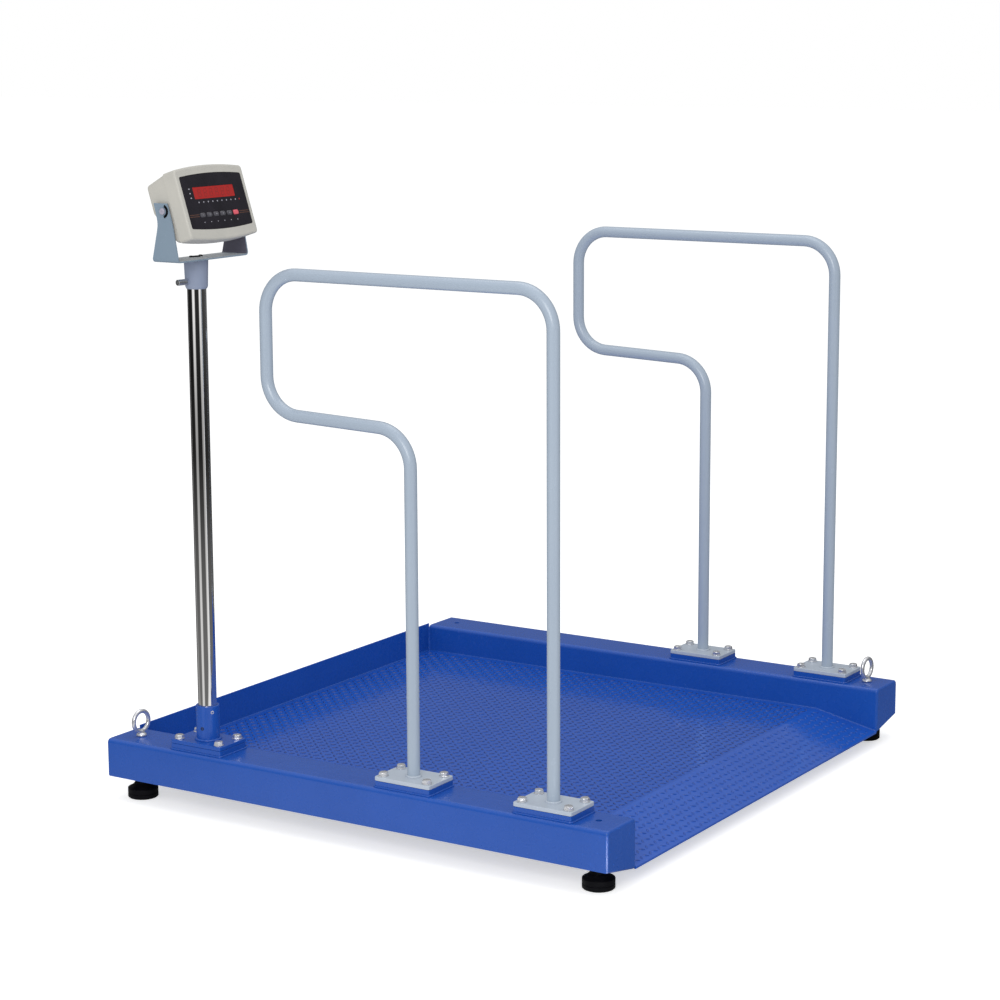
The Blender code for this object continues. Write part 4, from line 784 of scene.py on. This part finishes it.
def make_feet():
    """Rubber feet with a groove round the side and a cone above, and their threaded studs."""
    profile = rounded_profile([
        (0.0001, 0), (0.0295, 0), (0.0315, 0.0020, 0.0008), (0.0315, 0.0091, 0.0003), (0.0304, 0.0096, 0.0002),
        (0.0304, 0.0104, 0.0002), (0.0315, 0.0109, 0.0003), (0.0315, 0.0205, 0.0018),
        (0.0230, 0.0245, 0.0060), (0.0172, 0.0305, 0.0020), (0.0160, 0.0340, 0.0008), (0.0078, 0.0340),
        (0.0078, 0.0140), (0.0001, 0.0140),
    ])
    corner = 0.0094 / math.cos(math.radians(30))
    rings = turned_rings([(0.0075, 0.0143), (0.0075, 0.0343)], 48)
    rings += turned_rings([(1, 0.0343), (1, 0.0352), (1, 0.0400), (1, 0.0413)], 48,
                          hex_reach(0.0090, lambda z: corner if z < 0.0405 else 0.0088))
    thread = []
    z = 0.0413
    while z < 0.1006:
        thread += [(0.00555, z), (0.0060, z + 0.00045), (0.0060, z + 0.00070), (0.00555, z + 0.00120)]
        z += THREAD_PITCH
    rings += turned_rings(thread + [(0.0055, z), (0.0048, 0.1014)], 48)
    for name, (x, y) in CORNERS.items():
        place = at(x, y, 0)
        pad = turned_piece(f"foot_{name}_rubber", profile, 72, place, "rubber", f"foot_pad_{name}")
        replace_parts(pad, f"foot_pad_{name}")
        bm = bmesh.new()
        add_skin(bm, placed(rings, place))
        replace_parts(add_piece(f"foot_{name}_stud", bm, "zinc", f"foot_stud_{name}"), f"foot_stud_{name}")


# Load cells and junction box, seen from below

# How far a cell reaches past its foot's axis, its length, and the inset of the lid's screws
CELL_END = 0.016
CELL_LENGTH = 0.130
LID_INSET = 0.006


def make_underside():
    """Bolts and sealed pockets of the load cells, and the screws of the junction box's lid."""
    pocket = rounded_profile([(0.0001, 0), (0.0105, 0), (0.0105, 0.0052), (0.0080, 0.0068, 0.002),
                              (0.0001, 0.0072)])
    for name, (x, y) in CORNERS.items():
        end = math.copysign(1, x)
        for index, offset in enumerate((-0.013, 0.013)):
            spot = x + end * (CELL_END - CELL_LENGTH + 0.027) + offset
            seat = at(spot, y, CELL_UNDERSIDE_Z) @ turned(180, "X")
            add_bolt(f"cell_{name}", index, seat, 17 * index, 0.0055, 0.0098, 0.0300)
        middle = x + end * (CELL_END - CELL_LENGTH / 2)
        bm = bmesh.new()
        for side in (-1, 1):
            spot = at(middle, y + side * 0.0063, CELL_TOP_Z - 0.0155)
            add_turned(bm, pocket, 40, spot @ turned(-90 * side, "X"))
        add_piece(f"cell_{name}_sealant", bm, "sealant", "platform")

    low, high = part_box("junction_box_lid")
    screw = rounded_profile([(0.0001, -0.002), (0.0028, -0.002), (0.0028, 0.0012, 0.0009), (0.0001, 0.0016)])
    bm = bmesh.new()
    for x in (low.x + LID_INSET, high.x - LID_INSET):
        for y in (low.y + LID_INSET, high.y - LID_INSET):
            add_turned(bm, screw, 24, at(x, y, low.z) @ turned(180, "X"))
    add_piece("junction_box_lid_screws", bm, "zinc", "platform")


# Bracket and indicator

def pivot_axis(side):
    return at(*PIVOT) @ turned(-90 * side, "X")


def make_bracket_details():
    profile = rounded_profile([(0.0052, -0.0030), (0.0090, 0.0002), (0.0090, 0.0016, 0.0008),
                               (0.0050, 0.0020, 0.0006), (0.0044, 0.0002), (0.0044, -0.0030)])
    turned_piece("bracket_cable_grommet", profile, 36, at(POST_X, LEFT_Y, BRACKET_TOP_Z), "rubber", "head",
                 closed=True)
    profile = rounded_profile([
        (0.0001, -0.0088), (0.0024, -0.0088), (0.0024, 0.0001), (0.0046, 0.0001), (0.0046, 0.0012, 0.0006),
        (0.0036, 0.0030, 0.0010), (0.0017, 0.0033), (0.0016, 0.0014), (0.0001, 0.0012),
    ])
    for index, side in enumerate((-1, 1)):
        place = at(POST_X, LEFT_Y + side * CUP_SCREW_OFFSET, BRACKET_TOP_Z)
        turned_piece(f"bracket_base_screw_{index + 1}", profile, 36, place, "black_steel", "head")
    profile = rounded_profile([
        (0.0001, 0.0945), (0.0029, 0.0945), (0.0029, 0.1098), (0.0060, 0.1098), (0.0065, 0.1106),
        (0.0065, 0.1120, 0.0010), (0.0048, 0.1138, 0.001), (0.0016, 0.1138), (0.0013, 0.1129),
        (0.0001, 0.1127),
    ])
    for name, side in SIDES:
        screw = turned_piece(f"pivot_knob_screw_{name}", profile, 36, pivot_axis(side), "knob_plastic", "head")
        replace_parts(screw, f"pivot_screw_{name}")


def make_bracket_faces():
    """Painted shade on the arms' inner faces, a painted highlight on the base's top, and round the pivot slots
    dark rubber: friction washers that the slots show, partly painted shade, and edging that is painted shade.
    """
    # Painted shade: the arms' inner faces are darkened where the head shades them
    def inside(normal, middle):
        return normal.y * (middle.y - LEFT_Y) < -0.05 and abs(middle.y - LEFT_Y) > ARM_INSIDE - 0.004

    # Painted highlight: the base's top is paled to stand in for its gloss
    def on_top(normal, middle):
        return normal.z > 0.99 and middle.z < BRACKET_TOP_Z + 0.0005

    for name, wanted, material in (("bracket_arm_painted_shade", inside, "bracket_shade"),
                                   ("bracket_base_painted_highlight", on_top, "bracket_painted_highlight")):
        bm = bmesh.new()
        bm.from_mesh(nodes["tilt_bracket"].data)
        other = [face for face in bm.faces if not wanted(face.normal, face.calc_center_median())]
        bmesh.ops.delete(bm, geom=other, context="FACES")
        lifts = {}
        for vertex in bm.verts:
            total = sum((face.normal * face.calc_area() for face in vertex.link_faces), Vector())
            lifts[vertex.co.copy().freeze()] = total.normalized() * PAINTED_LIGHT_LIFT
        grown = bmesh.ops.extrude_face_region(bm, geom=list(bm.faces), use_keep_orig=True)["geom"]
        for vertex in (part for part in grown if isinstance(part, bmesh.types.BMVert)):
            vertex.co += lifts[vertex.co.copy().freeze()]
        add_piece(name, bm, material, "head")
    # Painted shade: dark rubber washers behind the slots make them show black, and a dark rubber arc round each
    # slot widens its shadow
    washer = rounded_profile([(0.0033, 0.1051), (0.0140, 0.1051, 0.0003), (0.0140, 0.1063, 0.0003),
                              (0.0033, 0.1063)])
    shade_arc = arc((0, 0), 0.0135, -75, 70, 24) + arc((0, 0), 0.0085, 70, -75, 24)
    for name, side in SIDES:
        turned_piece(f"friction_washer_painted_shade_{name}", washer, 48, pivot_axis(side), "rubber", "head", closed=True)
        bm = bmesh.new()
        add_skin(bm, [[PIVOT + Vector((a, side * y, b)) for a, b in shade_arc] for y in (0.1094, 0.1101)])
        add_piece(f"slot_painted_shade_{name}", bm, "rubber", "head")


def add_plates(name, outlines, front, thickness, material, body):
    """Flat shapes on the indicator's face, given as (across, up) points."""
    bm = bmesh.new()
    for outline in outlines:
        add_skin(bm, [[TO_HEAD @ Vector((x, a, b)) for a, b in outline] for x in (front - thickness, front)])
    add_piece(name, bm, material, body)


# The indicator's face, from the pivot's axis
KEY_PITCH = 0.0205
KEY_DROP = 0.024
KEY_SIZE = (0.0165, 0.0095)
KEY_RISE = 0.0012
WINDOW_RECESS = 0.0003
DIGIT_PITCH = 0.0178
DIGIT_UP = 0.020
LAMPS_UP = 0.0015
LAMP_PITCH = 0.0141
FIRST_LAMP = -0.053
CAPTIONS_UP = -0.0385
PRINT_LIFT = 0.00006
PRINT_DEPTH = 0.0002
STRIPE_ACROSS = (0.0608 + 0.0925) / 2


def key_across(index):
    return (index - 2.5) * KEY_PITCH


def shifted(outline, across, up):
    return [(a + across, b + up) for a, b in outline]


def segment_outline(length, width):
    half, tip = length / 2, width / 2
    return [(-half, 0), (-half + tip, tip), (half - tip, tip), (half, 0), (half - tip, -tip),
            (-half + tip, -tip)]


def make_digits():
    """Six unlit seven-segment digits, laid thinly on the red window that they show through."""
    width, height, bar, slant = 0.0085, 0.0150, 0.0016, 0.12
    flat = segment_outline(width - 0.0006, bar)
    upright = [(b, a) for a, b in segment_outline(height / 2 - 0.0006, bar)]
    shapes = [(flat, 0, height / 2), (flat, 0, 0), (flat, 0, -height / 2)]
    shapes += [(upright, side * width / 2, up * height / 4) for side in (-1, 1) for up in (-1, 1)]
    outlines = []
    for digit in range(6):
        middle = (digit - 2.5) * DIGIT_PITCH
        for shape in shapes:
            points = [(a + slant * b + middle, b + DIGIT_UP) for a, b in shifted(*shape)]
            outlines.append(points[::-1])
        outlines.append(circle(0.0009, 12, middle + 0.0075, DIGIT_UP - height / 2))
    add_plates("display_digits", outlines, PANEL_FRONT - WINDOW_RECESS + 0.00008, 0.00007, "segment",
               "indicator")


def make_panel_print():
    """Plain marks printed on the panel: lamps, ticks and stripes, and no lettering."""
    def add_print(name, outlines, material):
        add_plates(name, outlines, PANEL_FRONT + PRINT_LIFT, PRINT_DEPTH, material, "indicator")

    marks = [circle(0.0015, 16, FIRST_LAMP + index * LAMP_PITCH, LAMPS_UP) for index in range(9)]
    marks += [shifted(rounded_rectangle(0.0040, 0.0022, 0.0006), -0.0730, up) for up in (0.029, 0.020, 0.011)]
    for index, mark in enumerate((
        rounded_rectangle(0.0030, 0.0014, 0.0005, 2), rounded_rectangle(0.0034, 0.0012, 0.0005, 2),
        rounded_rectangle(0.0026, 0.0016, 0.0006, 2), circle(0.0012, 12),
        rounded_rectangle(0.0022, 0.0020, 0.0005, 2), circle(0.0012, 12),
    )):
        marks.append(shifted(mark, key_across(index), CAPTIONS_UP))
    add_print("panel_marks", marks, "print_grey")
    stripe = rounded_rectangle(0.0290, 0.0010, 0.0003, 2)
    stripes = [shifted(stripe, side * STRIPE_ACROSS, up) for up in (-0.0225, -0.0262) for side in (-1, 1)]
    add_print("panel_stripes", stripes, "print_brown")
    add_print("panel_red_lamp", [circle(0.0016, 16, 0.0720, LAMPS_UP)], "lamp_red")


def make_key_caps():
    """Oval domes on a skirt that fills the panel's hole."""
    skirt = rounded_rectangle(*KEY_SIZE, 0.0018)
    oval = rounded_rectangle(*KEY_SIZE, 0.00465)
    stations = [(-0.0053, skirt), (-0.0008, skirt)]
    for x, share in ((-0.0008, 0.96), (0.0003, 0.96), (0.0008, 0.88), (0.0011, 0.66), (KEY_RISE, 0.36)):
        stations.append((x, [(a * share, b * share) for a, b in oval]))
    for index in range(6):
        across = key_across(index)
        bm = bmesh.new()
        add_skin(bm, [[TO_HEAD @ Vector((PANEL_FRONT + x, a + across, b - KEY_DROP)) for a, b in outline]
                      for x, outline in stations])
        material = "stop_key_plastic" if index == 5 else "key_plastic"
        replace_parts(add_piece(f"key_{index + 1}_cap", bm, material, f"key_{index + 1}"), f"key_{index + 1}")


def make_key_marks():
    """A plain raised sign on each grey key cap."""
    bar = rounded_rectangle(0.0040, 0.0007, 0.0003, 2)
    for index, outlines in enumerate((
        [rounded_rectangle(0.0044, 0.0008, 0.0003, 2)],
        [shifted(bar, 0, up) for up in (0.0010, -0.0010)],
        [rounded_rectangle(0.0030, 0.0022, 0.0006, 2)],
        [circle(0.0012, 16)],
        [rounded_rectangle(0.0040, 0.0008, 0.0003, 2), rounded_rectangle(0.0008, 0.0030, 0.0003, 2)],
    )):
        outlines = [shifted(outline, key_across(index), -KEY_DROP) for outline in outlines]
        add_plates(f"key_{index + 1}_sign", outlines, PANEL_FRONT + KEY_RISE + 0.00008, 0.00016, "print_dim",
                   f"key_{index + 1}")


def make_case_details():
    """Screws in the back of the case."""
    profile = rounded_profile([(0.0001, -0.002), (0.0032, -0.002), (0.0032, 0.0010, 0.0008), (0.0010, 0.0016),
                               (0.0009, 0.0006), (0.0001, 0.0005)])
    bm = bmesh.new()
    for across, up in CASE_SCREWS:
        add_turned(bm, profile, 28, TO_HEAD @ at(HOUSING_BACK, across, up) @ turned(-90, "Y"))
    add_piece("case_screws", bm, "zinc", "indicator")


# Stage and light

AMBIENT = 0.60
FLOOR_LIFT = 0.54
# Brightness of the horizon and the ceiling, and where one turns into the other, as a direction's Z
HORIZON = 0.21
CEILING = 0.85
CEILING_RISE = (0.36, 0.74)
FLOOR_Z = -0.0005
# Brightness at an azimuth round the post, in degrees
SCREENS = ((-180, 0.012), (-116, 0.016), (-106, 1), (-86, 1), (-76, 0.025), (-33, 0.025), (-24, 1), (-11, 1),
           (-2, 0.05), (60, 0.07), (110, 0.2), (180, 0.012))
# Brightness at a distance from the post, in tens of metres
GAP_GLOW = ((0, 0.75), (0.19, 0.75), (0.34, 0.50), (0.44, 0.38), (0.57, 0.48), (0.75, 0.75), (1, 1))
NEAR_GLOW = ((0, 0.16), (0.14, 0.16), (0.26, 0.10), (0.34, 0.055), (0.45, 0.018), (1, 0))
# A pale strip of floor beside the left rail: its Y range with the width of its soft edge, and its brightness
# from one X to another
BESIDE_Y = (-1.15, -0.55, 0.1)
BESIDE_X = (-1.1, -0.3)
BESIDE_GLOW = (0.3, 0.9)
# A small light on the floor, seen only in the gloss of what is close to it
GLINT = 16.0
GLINT_PLACE = (0.75, -0.87, 0)
GLINT_EDGE = (0.10, 0.17)
GLINT_REACH = (0.36, 0.42)
# Name, place, size, power, colour
LAMPS = (
    ("key_light", (2.1, -4.7, 2.6), 2.4, 110.0, (1.0, 0.99, 0.97)),
    ("top_light", (-0.2, 0.2, 4.6), 3.0, 48.0, (1.0, 1.0, 1.0)),
)
LAMP_TARGET = Vector((0, 0, 0.45))


def mix_shaders(tree, factor, first, second):
    mix = add_node(tree, "ShaderNodeMixShader")
    for slot, source in enumerate((factor, first, second)):
        fill(tree, mix.inputs[slot], source)
    return mix.outputs[0]


def measure(tree, operation, vector, place=(0, 0, 0)):
    """A vector's length, or its difference or distance from a place."""
    node = add_node(tree, "ShaderNodeVectorMath")
    node.operation = operation
    fill(tree, node.inputs[0], vector)
    fill(tree, node.inputs[1], place)
    return node.outputs["Vector" if operation == "SUBTRACT" else "Value"]


def split(tree, vector):
    return add_node(tree, "ShaderNodeSeparateXYZ", Vector=vector).outputs


def curve(tree, value, points):
    """A grey value along a line of (place, grey) points, with places from 0 to 1."""
    node = add_node(tree, "ShaderNodeValToRGB", Fac=value)
    ramp = node.color_ramp
    for element, (place, grey) in zip(ramp.elements, (points[0], points[-1])):
        element.position = place
        element.color = (grey, grey, grey, 1)
    for place, grey in points[1:-1]:
        ramp.elements.new(place).color = (grey, grey, grey, 1)
    return node.outputs["Color"]


def zone(tree, value, low, high, fade):
    """One between two values, fading to nothing outside them."""
    rise = map_range(tree, value, (low - fade, low + fade), (0, 1), "SMOOTHSTEP")
    fall = map_range(tree, value, (high - fade, high + fade), (1, 0), "SMOOTHSTEP")
    return calculate(tree, "MULTIPLY", rise, fall)


def ray(tree, kind):
    return add_node(tree, "ShaderNodeLightPath").outputs[kind]


def seen_rays(tree):
    """One for rays that show the background: from the camera, off gloss or through glass."""
    total = calculate(tree, "MAXIMUM", ray(tree, "Is Camera Ray"), ray(tree, "Is Glossy Ray"))
    return calculate(tree, "MAXIMUM", total, ray(tree, "Is Transmission Ray"))


def studio_sky(tree):
    """White for the camera. Gloss shows a dim horizon under a bright ceiling."""
    place = add_node(tree, "ShaderNodeTexCoord").outputs["Generated"]
    ceiling = map_range(tree, split(tree, place)["Z"], CEILING_RISE, (HORIZON, CEILING))
    return calculate(tree, "MAXIMUM", ceiling, ray(tree, "Is Camera Ray"))


def floor_in_metal(tree):
    """What gloss shows of the floor: dark with two bright gaps round the post, and paler near the platform."""
    place = add_node(tree, "ShaderNodeTexCoord").outputs["Object"]
    shift = measure(tree, "SUBTRACT", place, (POST_X, LEFT_Y, 0))
    side = split(tree, shift)
    azimuth = calculate(tree, "ARCTAN2", side["Y"], side["X"])
    turn = map_range(tree, azimuth, (-math.pi, math.pi), (0, 1))
    distance = map_range(tree, measure(tree, "LENGTH", shift), (0, 10), (0, 1))
    stripes = curve(tree, turn, [((angle + 180) / 360, grey) for angle, grey in SCREENS])
    bright = calculate(tree, "MULTIPLY", stripes, curve(tree, distance, GAP_GLOW))
    shown = calculate(tree, "MAXIMUM", bright, curve(tree, distance, NEAR_GLOW))
    whole = split(tree, place)
    beside = calculate(tree, "MULTIPLY", zone(tree, whole["Y"], *BESIDE_Y),
                       map_range(tree, whole["X"], BESIDE_X, BESIDE_GLOW))
    shown = calculate(tree, "MAXIMUM", shown, beside)
    away = measure(tree, "DISTANCE", place, GLINT_PLACE)
    glint = map_range(tree, away, GLINT_EDGE, (GLINT, 0), "SMOOTHSTEP")
    close = map_range(tree, ray(tree, "Ray Length"), GLINT_REACH, (1, 0))
    return calculate(tree, "MAXIMUM", shown, calculate(tree, "MULTIPLY", glint, close))


def make_world():
    world = bpy.data.worlds.new("world")
    bpy.context.scene.world = world
    world.cycles.sampling_method = "NONE"
    world.use_nodes = True
    tree = world.node_tree
    light = tree.nodes["Background"]
    light.inputs["Color"].default_value = (0.98, 0.99, 1.0, 1)
    light.inputs["Strength"].default_value = AMBIENT
    shown = add_node(tree, "ShaderNodeBackground", Color=(1, 1, 1, 1), Strength=studio_sky(tree))
    mixed = mix_shaders(tree, seen_rays(tree), light.outputs[0], shown.outputs[0])
    tree.links.new(mixed, tree.nodes["World Output"].inputs["Surface"])


def make_floor():
    material = bpy.data.materials.new("floor")
    material.use_nodes = True
    material.cycles.emission_sampling = "NONE"
    tree = material.node_tree
    tree.nodes.clear()
    diffuse = add_node(tree, "ShaderNodeBsdfDiffuse", Color=(0.86, 0.86, 0.86, 1))
    lift = calculate(tree, "MULTIPLY", seen_rays(tree), FLOOR_LIFT)
    glow = add_node(tree, "ShaderNodeEmission", Color=(1, 1, 1, 1), Strength=lift)
    both = add_node(tree, "ShaderNodeAddShader")
    fill(tree, both.inputs[0], diffuse.outputs[0])
    fill(tree, both.inputs[1], glow.outputs[0])
    mirrored = add_node(tree, "ShaderNodeEmission", Color=floor_in_metal(tree))
    mixed = mix_shaders(tree, ray(tree, "Is Glossy Ray"), both.outputs[0], mirrored.outputs[0])
    add_node(tree, "ShaderNodeOutputMaterial", Surface=mixed)
    bm = bmesh.new()
    bmesh.ops.create_grid(bm, x_segments=1, y_segments=1, size=40)
    mesh = finished_mesh("floor", bm)
    mesh.materials.append(material)
    floor = add_object("floor", mesh)
    floor.location.z = FLOOR_Z


def make_lights():
    for name, location, size, power, colour in LAMPS:
        data = bpy.data.lights.new(name, "AREA")
        data.shape = "SQUARE"
        data.size = size
        data.energy = power
        data.color = colour
        lamp = add_object(name, data)
        lamp.location = location
        lamp.rotation_euler = (LAMP_TARGET - lamp.location).to_track_quat("-Z", "Y").to_euler()


def dress_nodes():
    """Gives every CAD node the detailed material of its slot."""
    for part in frame["record"]["subparts"]:
        node = nodes[part["node"]]
        for slot in node.material_slots:
            slot.material = materials[part["material_slot"]]
    for slot in nodes["deck_plate"].material_slots:
        slot.material = materials["deck_paint"]


def main():
    make_camera()
    dress_nodes()
    make_rails()
    make_welds()
    make_tread()
    make_handrails()
    make_post()
    make_adapter()
    make_flange_bolts()
    make_lifting_eyes()
    make_feet()
    make_underside()
    make_bracket_details()
    make_bracket_faces()
    make_digits()
    make_panel_print()
    make_key_caps()
    make_key_marks()
    make_case_details()
    make_world()
    make_floor()
    make_lights()
    bpy.context.scene.view_settings.view_transform = "Standard"


main()
